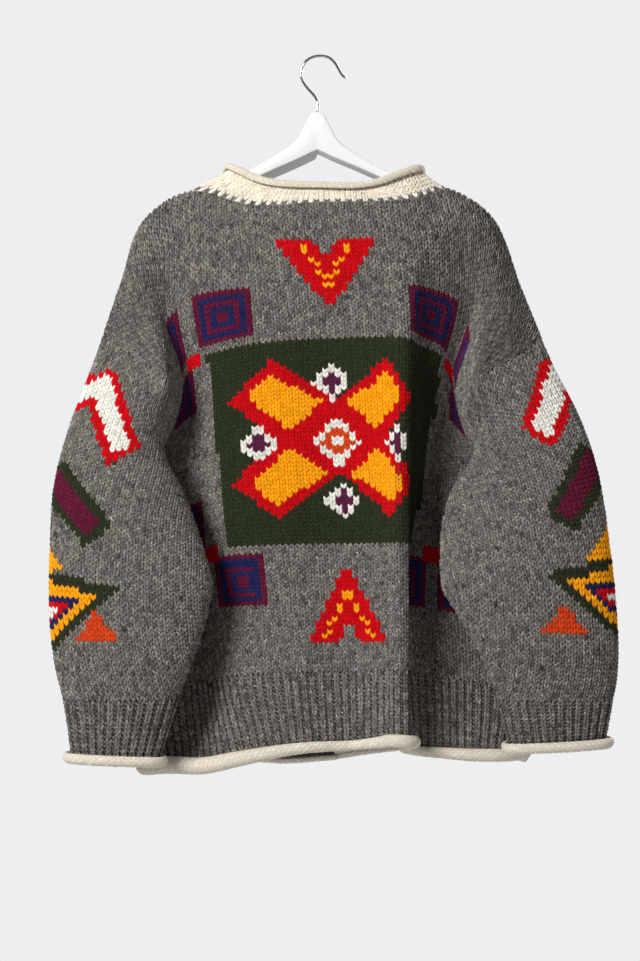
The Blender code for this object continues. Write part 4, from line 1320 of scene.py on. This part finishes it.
def knit_sizes():
    """Row height and stitch width in millimetres."""
    sizes = bpy.context.scene.cardigan_knit
    return sizes.row_height / MM, sizes.stitch_width / MM


def circle(count):
    """Turns that divide a circle evenly."""
    return np.linspace(0, 2 * math.pi, count + 1)[:-1]


def wrapped_quads(count, around, closed=False):
    """Faces between rings of points that follow each other."""
    ring = np.arange(count if closed else count - 1)[:, None]
    corner = np.arange(around)[None]
    here = ring * around
    after = (ring + 1) % count * around
    beside = (corner + 1) % around
    quads = [here + corner, here + beside, after + beside, after + corner]
    return np.stack(quads, axis=-1).reshape(-1, 4)


def ring_faces(count, around):
    """Faces of a row of rings, with a cap at each end."""
    faces = wrapped_quads(count, around).tolist()
    faces.append(list(range(around))[::-1])
    faces.append(list(range((count - 1) * around, count * around)))
    return faces


def lines_to(total, start=0.0):
    """Lines of knit down a panel, one row apart."""
    row = knit_sizes()[0]
    return np.linspace(start, total, round((total - start) / row) + 1)


def back_bounds(lengths, middle, falls, width):
    """Ends of the back's columns from its centre: even ones, then ones that fit its side."""
    column = np.arange(-MOST_COLUMNS, MOST_COLUMNS + 1)
    drawn = np.clip((falls - DRAWN_FROM) / (ROWS_TO_RIB - DRAWN_FROM), 0, 1)
    even = (width * (1 - DRAWN_IN * drawn))[:, None]
    side = np.where(column < 0, middle[:, None], lengths[:, -1:] - middle[:, None])
    rest = np.maximum(side - EVEN_COLUMNS * even, LEAST_SIDE)
    fitted = rest / (SIDE_COLUMNS * np.sqrt(rest / SIDE_WIDTH))
    steps = np.abs(column)
    beyond = np.maximum(steps - EVEN_COLUMNS, 0)
    bounds = np.minimum(steps, EVEN_COLUMNS) * even + beyond * fitted
    return column, np.sign(column) * bounds


def knit_back():
    """The back: its colour work in two pieces, and its cloth."""
    width = knit_sizes()[1]
    falls = lines_to(ROWS_TO_RIB)
    rows = panel(*BACK_TABLES, falls, np.linspace(0, BACK_END, BACK_FINE))
    lengths = run_lengths(rows)
    middle = lengths[:, round(CENTRE / BACK_END * (BACK_FINE - 1))]
    column, bounds = back_bounds(lengths, middle, falls, width)
    points, keep = columns_from(rows, middle, bounds)
    half = len(falls) // 2
    halves = (("back_stitches_upper", 0, half), ("back_stitches_lower", half, len(falls) - 1))
    for name, first, last in halves:
        kept = keep[first:last]
        part = points[first : last + 1]
        corners = corners_of(part[:, :-1], part[:, 1:], kept)
        shape = np.ones(kept.shape)
        columns = ((column[:-1] + 0.5)[None] * shape)[kept]
        middles = ((falls[first:last] + falls[1] / 2)[:, None] * shape)[kept]
        yarns = back_chart(columns, middles)
        lattice = (corners, -1, FINE_LEG, COVER, yarns, TWO_LEGS)
        add_stitches(name, [lattice])
    down, across = BACK_GRID
    falls = np.linspace(0, ROWS_TO_RIB, down)
    grid = panel(*BACK_TABLES, falls, np.linspace(0, BACK_END, across))
    cloth = add_cloth("back_cloth", grid, -1, "grey", "back")
    declare(grid, False)


def knit_front(hand):
    """A plain front: its stitches, even ones from its front edge, and its cloth."""
    name = "front_" + hand
    width = knit_sizes()[1]
    sign = -1 if hand == "left" else 1
    falls = lines_to(ROWS_TO_RIB)
    rows = front_points(hand, falls, np.linspace(FRONT_EDGE, 0, FRONT_FINE))
    edge = rows[:, 0, 0]
    cut = np.abs(edge - np.interp(ROWS_TO_FRONT_NECK, falls, edge)) * (falls < ROWS_TO_FRONT_NECK)
    bounds = np.arange(FRONT_COLUMNS)[None] * width - cut[:, None]
    points, keep = columns_from(rows, np.zeros(len(falls)), bounds)
    corners = corners_of(points[:, :-1], points[:, 1:], keep)
    yarns = np.full(corners.shape[1], GREY)
    lattice = (corners, sign, LIGHT_LEG, COVER, yarns, TWO_LEGS)
    stitches = add_stitches(name + "_stitches", [lattice])
    down, across = FRONT_GRID
    falls = np.linspace(0, ROWS_TO_RIB, down)
    grid = front_points(hand, falls, np.linspace(FRONT_EDGE, 0, across))
    cloth = add_cloth(name + "_cloth", grid, sign, "grey", name)
    declare(grid, False)


def knit_sleeve(hand):
    """A sleeve: its stitches from the outer fold, finer ones behind, and its cloth."""
    name = "sleeve_" + hand
    width = knit_sizes()[1] * SLEEVE_TIGHTNESS
    sign = -1 if hand == "left" else 1
    shares = np.linspace(0, CUFF_SHARE, SLEEVE_ROWS + 1)
    around = np.linspace(SLEEVE_ROUND / 2, SLEEVE_ROUND * 3 / 2, SLEEVE_FINE)
    rows = sleeve_points(hand, shares, around)
    middle = SLEEVE_FINE // 2
    fold = rows[:, middle]
    columns = np.arange(-SLEEVE_COLUMNS, SLEEVE_COLUMNS + 1)
    bounds = np.repeat(columns[None] * width, len(rows), axis=0)
    points, keep = columns_from(rows, run_lengths(rows)[:, middle], bounds)
    corners = corners_of(points[:, :-1], points[:, 1:], keep)
    centres = corners.mean(axis=0)
    aside = np.abs(centres[:, 0] - np.interp(centres[:, 2], fold[::-1, 2], fold[::-1, 0]))
    yarns = sleeve_chart(hand, aside, centres[:, 2])
    behind = np.broadcast_to(bounds[:-1, :-1] >= 0, keep.shape)[keep]
    lattices = [
        (corners[:, behind], sign, FINE_LEG, COVER, yarns[behind], TWO_LEGS),
        (corners[:, ~behind], sign, LIGHT_LEG, COVER, yarns[~behind], TWO_LEGS),
    ]
    stitches = add_stitches(name + "_stitches", lattices)
    down, across = SLEEVE_GRID
    shares = np.linspace(0, CUFF_SHARE, down)
    grid = sleeve_points(hand, shares, np.linspace(0, SLEEVE_ROUND, across)[:-1])
    cloth = add_cloth(name + "_cloth", grid, sign, "grey", name, closed=True)
    declare(grid, True)


def knit_rib(name, line_points, places, rows, sign, closed=False):
    """A ribbed band with its stitches."""
    curve = line_points(rows[-1:], places)[0]
    lattices, count = rib_lattices(line_points, curve, places, rows, sign)
    stitches = add_stitches(name + "_stitches", lattices)
    fine = even_places(curve, places, 2 * count)
    grid = line_points(np.linspace(rows[0], rows[-1], RIB_ROWS), fine)
    ridge = 0.5 - 0.5 * np.cos(math.pi * np.arange(grid.shape[1]) / 2)
    if closed:
        grid = grid[:, :-1]
        ridge = ridge[:-1]
    raised = np.repeat(RIB_RAISE * ridge[None], len(grid), axis=0)
    cloth = add_cloth(name + "_cloth", grid, sign, "grey", name, closed, raised)
    declare(grid, closed)


def roll_surface(edge, normals, downs, radii, closed):
    """A function that gives points of a rolled edge, and the edge's length."""
    if closed:
        edge = np.concatenate([edge, edge[:1]])
        normals = np.concatenate([normals, normals[:1]])
        downs = np.concatenate([downs, downs[:1]])
        radii = np.append(radii, radii[0])
    lengths = run_lengths(edge[None])[0]
    total = lengths[-1]

    def surface(along, turns, inset):
        along = along % total if closed else np.clip(along, 0, total)
        point, normal, down = (
            np.stack([np.interp(along, lengths, table[:, axis]) for axis in range(3)], axis=-1)
            for table in (edge, normals, downs)
        )
        normal = unit(normal)
        down = unit(down)
        radius = np.interp(along, lengths, radii)[..., None]
        centre = point + normal * (radius - WALL / 2) + down * ROLL_GAP
        reach = np.maximum(radius - inset, ROLL_CORE)
        turns = turns[..., None]
        return centre + reach * (down * np.sin(turns) - normal * np.cos(turns))

    return surface, total


def knit_roll(name, edge, normals, downs, radii, closed=False):
    """A knitted edge that curls outwards: its sheet, and bumps that lean like a rope's turns."""
    surface, total = roll_surface(edge, normals, downs, radii, closed)
    half = len(edge) // 2
    facing = np.dot(np.cross(edge[half + 1] - edge[half], downs[half]), -normals[half])
    sign = 1 if facing > 0 else -1
    sweep = math.radians(ROLL_SWEEP)
    along = np.linspace(0, total, math.ceil(total / ROLL_LENGTH) + 1)
    if closed:
        along = along[:-1]
    wide, tall = np.meshgrid(along, np.linspace(0, sweep, ROLL_STEPS + 1), indexing="ij")
    outer = surface(wide, tall, ROLL_SKIN)
    inner = surface(wide, tall, WALL)
    rings = np.concatenate([outer, inner[:, ::-1]], axis=1)
    count, around = rings.shape[:2]
    faces = wrapped_quads(count, around, closed)
    if not closed:
        low = np.arange(ROLL_STEPS)
        cap = np.stack([low + 1, low, around - 1 - low, around - 2 - low], axis=1)
        faces = np.concatenate([faces, cap, cap[:, ::-1] + (count - 1) * around])
    if sign < 0:
        faces = faces[:, ::-1]
    # The roll's sheet is darkened as painted shade where it shows between the bumps.
    look = yarn_look("cream", under=True)
    points = rings.reshape(-1, 3)
    cloth = add_piece(name + "_cloth", points, faces.tolist(), [look], [name])
    bumps = round(float(np.mean(radii)) * sweep / BUMP_WIDTH)
    pitch = total / round(total / BUMP_LENGTH)
    start = np.arange(round(total / pitch) - (0 if closed else 1))
    row = np.arange(bumps)[:, None]
    first = (start[None] + 0.5 * (row % 2)) * pitch
    top = (row * np.ones(len(start))[None] / bumps) * sweep
    corners = np.stack(
        [
            surface(side, turn, BUMP_INSET).reshape(-1, 3)
            for turn in (top, top + sweep / bumps)
            for side in (first, first + pitch)
        ]
    )
    yarns = np.full(corners.shape[1], CREAM)
    lattice = (corners, sign, ROPE_BUMP, 0.0, yarns, ONE_LENGTH)
    return [cloth, add_stitches(name + "_bumps", [lattice])]


def hem_edge(line_points, places, sign, radii):
    """The edge that a roll hangs from, with its directions and radii."""
    pair = line_points(np.array([ROWS_TO_HEM - HEM_STEP, ROWS_TO_HEM]), places)
    normals = outward(pair, sign)[1]
    sizes = np.interp(places, np.arange(len(radii)), radii)
    return pair[1], normals, unit(pair[1] - pair[0]), sizes


def knit_hem(hand):
    """Ribbed band and rolled hem under one panel."""
    part = "back" if hand == "back" else "front_" + hand
    sign = 1 if hand == "left" else -1
    last = BACK_END if hand == "back" else FRONT_EDGE
    radii = HEM_ROLL_BACK if hand == "back" else HEM_ROLL_FRONT
    places = np.linspace(0, last, HEM_FINE)

    def line_points(falls, where):
        return body_points(hand, falls, where)

    edge, normals, downs, sizes = hem_edge(line_points, places, sign, radii)
    if hand == "right":
        strap = strap_points((ROWS_TO_HEM - HEM_STEP, ROWS_TO_HEM), np.linspace(*STRAP_ROLL))
        strap = strap + OVER_STRAP
        edge = np.concatenate([edge, strap[1]])
        normals = np.concatenate([normals, outward(strap, -1)[1]])
        downs = np.concatenate([downs, unit(strap[1] - strap[0])])
        sizes = np.append(sizes, [sizes[-1]] * STRAP_ROLL[2])
    if hand == "left":
        # The rolled edge meets that of the upper strap.
        edge = np.concatenate([edge, edge[-1:] + ROLL_MEETING * unit(edge[-1:] - edge[-2:-1])])
        normals = np.concatenate([normals, normals[-1:]])
        downs = np.concatenate([downs, downs[-1:]])
        sizes = np.append(sizes, sizes[-1])
    roll = knit_roll(part + "_roll", edge, normals, downs, sizes)
    rows = lines_to(ROWS_TO_HEM, ROWS_TO_RIB)
    knit_rib(part + "_rib", line_points, places, rows, sign)


def knit_cuff(hand):
    """Ribbed band and rolled edge of one cuff."""
    sign = -1 if hand == "left" else 1
    places = np.linspace(0, SLEEVE_ROUND, CUFF_FINE)

    def line_points(shares, where):
        return sleeve_points(hand, shares, where)

    pair = line_points(np.array([CUFF_STEP, 1.0]), places[:-1])
    normals = outward(pair, sign, closed=True)[1]
    downs = unit(pair[1] - pair[0])
    radii = np.full(len(downs), ROLL_RADIUS_CUFF)
    roll = knit_roll("cuff_roll_" + hand, pair[1], normals, downs, radii, closed=True)
    rows = np.linspace(CUFF_SHARE, 1.0, CUFF_ROWS + 1)
    knit_rib("cuff_rib_" + hand, line_points, places, rows, sign, closed=True)


def knit_collar():
    """Collar with its rolled top and the dashes of white yarn where it is joined."""
    steps = np.linspace(0, COLLAR_STEPS, 12 * COLLAR_STEPS + 1)
    base = collar_points((0.0, 1.0), steps)
    lengths = run_lengths(base)
    count = round(lengths[0, -1] / COLLAR_PITCH)
    ends = np.interp(np.linspace(0, lengths[0, -1], count + 1), lengths[0], steps)
    tall = np.linalg.norm(base[1] - base[0], axis=1).mean()
    shares = np.linspace(0, 1, round(tall / knit_sizes()[0]) + 1)
    points = collar_points(shares, ends)
    # The rows run up from the neck edge, so the corners of each stitch are turned over.
    corners = corners_of(points[:, :-1], points[:, 1:])[[2, 3, 0, 1]]
    yarns = np.full((len(shares) - 1, count), CREAM)
    yarns[0] = np.where(np.arange(count) % 2 == 0, WHITE, GREY)
    lattice = (corners, -1, FINE_LEG, COVER, yarns.ravel(), TWO_LEGS)
    stitches = add_stitches("collar_stitches", [lattice])
    coarse = np.linspace(0, COLLAR_STEPS, 6 * COLLAR_STEPS + 1)
    grid = collar_points(np.linspace(0, 1, COLLAR_ROWS), coarse)
    cloth = add_cloth("collar_cloth", grid, 1, "cream", "collar")
    pair = collar_points((COLLAR_STEP, 1.0), steps)
    normals = outward(pair, 1)[1]
    ups = unit(pair[1] - pair[0])
    radii = np.full(len(ups), ROLL_RADIUS_COLLAR)
    roll = knit_roll("collar_roll", pair[1], normals, ups, radii)
    declare(grid, False)


def knit_straps():
    """The two bands of the front opening, the upper one with stitches."""
    falls = lines_to(ROWS_TO_HEM, ROWS_TO_FRONT_NECK)
    points = strap_points(falls, np.linspace(0, 1, STRAP_STITCHES + 1)) + OVER_STRAP
    corners = corners_of(points[:, :-1], points[:, 1:])
    lattice = (corners, 1, FINE_LEG, COVER, np.full(corners.shape[1], CREAM), TWO_LEGS)
    stitches = add_stitches("strap_stitches", [lattice])
    down, across = STRAP_GRID
    coarse = np.linspace(ROWS_TO_FRONT_NECK, ROWS_TO_HEM, down)
    grid = strap_points(coarse, np.linspace(0, 1, across))
    over = add_cloth("strap_right_cloth", grid + OVER_STRAP, 1, "cream", "front_strap_right")
    under = add_cloth("strap_left_cloth", grid, 1, "cream", "front_strap_left")
    declare(grid, False)
    declare(grid, False)


# A button from its back to the middle of its face: radius and height. Its holes lie so
# far to each side, and its threads run from one hole to the next and arch over.
BUTTON_PROFILE = (
    (9.6, 0.0),
    (10.6, 0.4),
    (11.0, 1.3),
    (11.0, 2.9),
    (10.5, 3.8),
    (9.7, 4.15),
    (8.9, 4.0),
    (8.2, 3.5),
    (7.4, 3.2),
    (4.0, 3.05),
    (1.0, 3.0),
)
BUTTON_AROUND = 48
BUTTON_GAP = 0.34
HOLE_SIDE = 2.1
HOLE_RADIUS = 1.15
HOLE_HEIGHT = 3.12
HOLE_AROUND = 12
THREAD_REACH = 2.5
THREAD_HEIGHT = 3.2
THREAD_ARCH = 0.75
THREAD_RADIUS = 0.6
THREAD_STEPS = 9
THREAD_AROUND = 8


def make_button(number, fall):
    """A turned button with a dished face, four holes shown as dark discs of painted shade, and two
    threads.
    """
    spot = strap_points((fall - 5.0, fall, fall + 5.0), (0.3, 0.5, 0.7)) + OVER_STRAP
    axis = outward(spot, 1)[1, 1]
    centre = spot[1, 1] + axis * (WALL / 2 + BUTTON_GAP)
    across = unit(np.cross(axis, np.array([0.0, 0.0, 1.0])))
    up = np.cross(across, axis)
    turns = circle(BUTTON_AROUND)
    spokes = np.cos(turns)[:, None] * across + np.sin(turns)[:, None] * up
    parts = [centre + axis * height + spokes * radius for radius, height in BUTTON_PROFILE]
    faces = ring_faces(len(BUTTON_PROFILE), BUTTON_AROUND)
    indices = [0] * len(faces)
    start = len(BUTTON_PROFILE) * BUTTON_AROUND
    # Each hole is a flat disc just over the face, coloured as the painted shade inside it.
    for top in (-HOLE_SIDE, HOLE_SIDE):
        for right in (-HOLE_SIDE, HOLE_SIDE):
            middle = centre + axis * HOLE_HEIGHT + across * right + up * top
            parts.append(middle + spokes[:: BUTTON_AROUND // HOLE_AROUND] * HOLE_RADIUS)
            faces.append(list(range(start, start + HOLE_AROUND)))
            indices.append(1)
            start += HOLE_AROUND
    path = np.linspace(-THREAD_REACH, THREAD_REACH, THREAD_STEPS)
    arch = THREAD_HEIGHT + THREAD_ARCH * np.cos(path / THREAD_REACH * math.pi / 2)
    ring = circle(THREAD_AROUND)
    section = THREAD_RADIUS * (np.cos(ring)[:, None] * across + np.sin(ring)[:, None] * axis)
    for right in (-HOLE_SIDE, HOLE_SIDE):
        for top, height in zip(path, arch, strict=True):
            parts.append(centre + axis * height + across * right + up * top + section)
        thread = ring_faces(THREAD_STEPS, THREAD_AROUND)
        faces += [[start + corner for corner in face] for face in thread]
        indices += [2] * len(thread)
        start += THREAD_STEPS * THREAD_AROUND
    horn = look_once("button_horn", horn_look)
    hole = look_once("button_hole", hole_shade_look)
    name = f"button_{number + 1}"
    add_piece(
        name + "_turned",
        np.concatenate(parts),
        faces,
        [horn, hole, yarn_look("cream")],
        [name],
        indices,
    )


# The hanger bar: half its thickness, its place across and in depth, how far it tilts,
# how finely it is followed, how far its rounded crown drops, and its lower edges' trim.
HANGER_HALF = 7.0
HANGER_PLACE = (-3.0, -2.0)
HANGER_TILT = 0.01
HANGER_STEPS = 90
CROWN_STEPS = 11
CROWN_DROP = 6.5
EDGE_TRIM = 1.2
# The wire of the hook, and the radii of its rounded tip.
WIRE_RADIUS = 1.8
WIRE_STEPS = 8
WIRE_AROUND = 16
TIP_RADII = (1.72, 1.5, 1.1, 0.5)


def make_hanger():
    """The painted bar, with its edges rounded."""
    table = np.array(HANGER, float)
    half = HANGER_HALF
    even = np.linspace(0, table[-1, 0], HANGER_STEPS)
    fine = np.unique(np.concatenate([table[:, 0], even]))
    shape = eased(table[:, 0], table[:, 1:], fine)
    arms = [(-1, *row) for row in zip(fine[:0:-1], shape[:0:-1], strict=True)]
    arms += [(1, *row) for row in zip(fine, shape, strict=True)]
    arc = np.linspace(-math.pi / 2, math.pi / 2, CROWN_STEPS)
    middle, depth_middle = HANGER_PLACE
    rings = []
    for side, distance, (top, low_back, low_left, low_right) in arms:
        low_front = low_left if side < 0 else low_right
        tilt = HANGER_TILT * side * distance
        drop = min(CROWN_DROP, 0.6 * (top - low_back))
        top = top + tilt
        low_back += tilt
        low_front += tilt
        trim = min(EDGE_TRIM, 0.2 * (top - low_back))
        slant = 0.02 * (low_front - low_back)
        section = [
            (-half + trim, low_back + slant),
            (-half + 0.3 * trim, low_back + 0.3 * trim),
            (-half, low_back + trim),
        ]
        for turn in arc:
            section.append((half * math.sin(turn), top - drop * (1 - math.cos(turn) ** 0.8)))
        section += [
            (half, low_front + trim),
            (half - 0.3 * trim, low_front + 0.3 * trim),
            (half - trim, low_front - slant),
        ]
        across = middle + side * distance
        rings.append([(across, depth_middle + depth, height) for depth, height in section])
    points = np.array(rings).reshape(-1, 3)
    faces = ring_faces(len(rings), len(rings[0]))
    look = look_once("hanger_paint", paint_look)
    add_piece("hanger_bar", points, faces, [look], ["hanger"])


def make_hook():
    """The wire hook, with a rounded tip."""
    path = np.array(HOOK, float)
    places = np.linspace(0, len(path) - 1, WIRE_STEPS * (len(path) - 1) + 1)
    flat = np.stack([path[:, 0], np.zeros(len(path)), path[:, 1]], axis=1)
    curve = rounded(flat[None], places)[0]
    # The foot of the wire stands in the middle of the bar's thickness.
    curve[:, 1] = np.interp(curve[:, 2], [-64.0, -20.0], [HANGER_PLACE[1], 0.0])
    travel = unit(np.gradient(curve, axis=0))
    side = unit(np.cross(travel, np.array([0.0, 1.0, 0.0])))
    other = np.cross(travel, side)
    radii = np.full(len(curve), WIRE_RADIUS)
    radii[-len(TIP_RADII) :] = TIP_RADII
    turns = circle(WIRE_AROUND)
    rings = [
        point + radius * (np.cos(turns)[:, None] * first + np.sin(turns)[:, None] * second)
        for point, first, second, radius in zip(curve, side, other, radii, strict=True)
    ]
    faces = ring_faces(len(rings), WIRE_AROUND)
    look = look_once("hook_wire", wire_look)
    add_piece("hook_wire_round", np.concatenate(rings), faces, [look], ["hook"])


# Lights: name, place, size, which power it takes and how many times that.
LIGHTS = (
    ("key_light", (-1.7, -2.3, 0.9), 1.1, "key_power", 1.0),
    ("fill_light", (2.2, -2.0, -0.2), 1.6, "fill_power", 1.0),
    ("front_light", (1.5, 2.4, 0.8), 1.4, "fill_power", 7.0),
)
LIGHTS_AIM = (0.0, 0.0, -0.45)
# The surround lights the cloth less from the side of the camera.
SURROUND_LEVELS = (("From Min", -0.35), ("From Max", 0.35), ("To Min", 0.18), ("To Max", 1.0))
FLOOR_RADIUS = 1.9
FLOOR_SIDES = 96
# What the camera sees across at the hook, in metres, and the width of its sensor.
VIEW_WIDTH = 1.1244
SENSOR_WIDTH = 36.0


def area_light(name, place, size, power):
    """A square light aimed at the middle of the object."""
    light = bpy.data.lights.new(name, "AREA")
    light.energy = power
    light.size = size
    thing = bpy.data.objects.new(name, light)
    thing.location = place
    aim = Vector(LIGHTS_AIM) - Vector(place)
    thing.rotation_euler = aim.to_track_quat("-Z", "Y").to_euler()
    bpy.context.scene.collection.objects.link(thing)


def make_surround(colour):
    """A pale world that is weaker behind the camera."""
    world = bpy.data.worlds.new("surround")
    world.use_nodes = True
    nodes = world.node_tree.nodes
    links = world.node_tree.links
    background = nodes["Background"]
    background.inputs["Color"].default_value = (*colour, 1.0)
    place = nodes.new("ShaderNodeTexCoord")
    parts = nodes.new("ShaderNodeSeparateXYZ")
    level = nodes.new("ShaderNodeMapRange")
    for socket, value in SURROUND_LEVELS:
        level.inputs[socket].default_value = value
    links.new(place.outputs["Generated"], parts.inputs["Vector"])
    links.new(parts.outputs["Y"], level.inputs["Value"])
    links.new(level.outputs["Result"], background.inputs["Strength"])
    return world


def set_stage():
    """Pale floor and surround, soft lights and the camera of the photograph."""
    scene = bpy.context.scene
    studio = scene.cardigan_studio
    scene.view_settings.view_transform = "Standard"
    scene.world = make_surround(studio.surround)
    rim = [
        (FLOOR_RADIUS * math.cos(turn), FLOOR_RADIUS * math.sin(turn), studio.floor_height)
        for turn in circle(FLOOR_SIDES)
    ]
    mesh = bpy.data.meshes.new("studio_floor")
    mesh.from_pydata(rim, [], [tuple(range(len(rim)))])
    mesh.materials.append(floor_look())
    floor = bpy.data.objects.new("studio_floor", mesh)
    scene.collection.objects.link(floor)
    for name, place, size, setting, share in LIGHTS:
        area_light(name, place, size, getattr(studio, setting) * share)
    camera = bpy.data.cameras.new("camera")
    camera.lens = SENSOR_WIDTH * studio.camera_distance / VIEW_WIDTH
    camera.sensor_width = SENSOR_WIDTH
    thing = bpy.data.objects.new("camera", camera)
    thing.location = (0.0, -studio.camera_distance, studio.camera_height)
    thing.rotation_euler = (math.pi / 2, 0.0, 0.0)
    scene.collection.objects.link(thing)
    scene.camera = thing


# Operators, panel and registration.


class CARDIGAN_OT_back(bpy.types.Operator):
    """Knits the back and its colour work"""

    bl_idname = "cardigan.back"
    bl_label = "Knit back"

    def execute(self, context):
        knit_back()
        return {"FINISHED"}


class CARDIGAN_OT_fronts(bpy.types.Operator):
    """Knits both fronts"""

    bl_idname = "cardigan.fronts"
    bl_label = "Knit fronts"

    def execute(self, context):
        for hand in ("left", "right"):
            knit_front(hand)
        return {"FINISHED"}


class CARDIGAN_OT_sleeves(bpy.types.Operator):
    """Knits both sleeves and their colour work"""

    bl_idname = "cardigan.sleeves"
    bl_label = "Knit sleeves"

    def execute(self, context):
        for hand in ("left", "right"):
            knit_sleeve(hand)
        return {"FINISHED"}


class CARDIGAN_OT_edges(bpy.types.Operator):
    """Knits the ribbed bands and rolled edges of the hem and cuffs"""

    bl_idname = "cardigan.edges"
    bl_label = "Knit ribs and rolled edges"

    def execute(self, context):
        for part in ("back", "left", "right"):
            knit_hem(part)
        for hand in ("left", "right"):
            knit_cuff(hand)
        return {"FINISHED"}


class CARDIGAN_OT_buttons(bpy.types.Operator):
    """Turns and sews on the buttons"""

    bl_idname = "cardigan.buttons"
    bl_label = "Make buttons"

    def execute(self, context):
        for number, fall in enumerate(BUTTON_FALLS):
            make_button(number, fall)
        return {"FINISHED"}


class CARDIGAN_OT_collar(bpy.types.Operator):
    """Knits the collar, its rolled top and the straps of the front"""

    bl_idname = "cardigan.collar"
    bl_label = "Knit collar and straps"

    def execute(self, context):
        knit_collar()
        knit_straps()
        return {"FINISHED"}


class CARDIGAN_OT_hanger(bpy.types.Operator):
    """Makes the painted hanger and its wire hook"""

    bl_idname = "cardigan.hanger"
    bl_label = "Make hanger"

    def execute(self, context):
        make_hanger()
        make_hook()
        return {"FINISHED"}


class CARDIGAN_OT_stage(bpy.types.Operator):
    """Sets the floor, the lights and the camera"""

    bl_idname = "cardigan.stage"
    bl_label = "Set stage"

    def execute(self, context):
        set_stage()
        return {"FINISHED"}


class CARDIGAN_PT_panel(bpy.types.Panel):
    """Sizes, colours and pieces of the cardigan"""

    bl_label = "Hand-knit cardigan"
    bl_idname = "CARDIGAN_PT_panel"
    bl_space_type = "VIEW_3D"
    bl_region_type = "UI"
    bl_category = "Cardigan"

    def draw(self, context):
        layout = self.layout
        scene = context.scene
        for group, kind in SETTINGS.items():
            box = layout.box()
            for name in kind.__annotations__:
                box.prop(getattr(scene, group), name)
        for operator in OPERATORS:
            layout.operator(operator.bl_idname)


OPERATORS = (
    CARDIGAN_OT_back,
    CARDIGAN_OT_fronts,
    CARDIGAN_OT_sleeves,
    CARDIGAN_OT_edges,
    CARDIGAN_OT_buttons,
    CARDIGAN_OT_collar,
    CARDIGAN_OT_hanger,
    CARDIGAN_OT_stage,
)
SETTINGS = {
    "cardigan_knit": KnitSizes,
    "cardigan_yarns": YarnColours,
    "cardigan_trims": TrimColours,
    "cardigan_studio": StudioSettings,
}
CLASSES = (*SETTINGS.values(), *OPERATORS, CARDIGAN_PT_panel)


def register():
    for kind in CLASSES:
        bpy.utils.register_class(kind)
    for name, settings in SETTINGS.items():
        setattr(bpy.types.Scene, name, PointerProperty(type=settings))


def unregister():
    for name in SETTINGS:
        delattr(bpy.types.Scene, name)
    for kind in reversed(CLASSES):
        bpy.utils.unregister_class(kind)


def main():
    register()
    bpy.ops.cardigan.back()
    bpy.ops.cardigan.fronts()
    bpy.ops.cardigan.sleeves()
    bpy.ops.cardigan.edges()
    bpy.ops.cardigan.buttons()
    bpy.ops.cardigan.collar()
    bpy.ops.cardigan.hanger()
    bpy.ops.cardigan.stage()


if __name__ == "__main__":
    main()
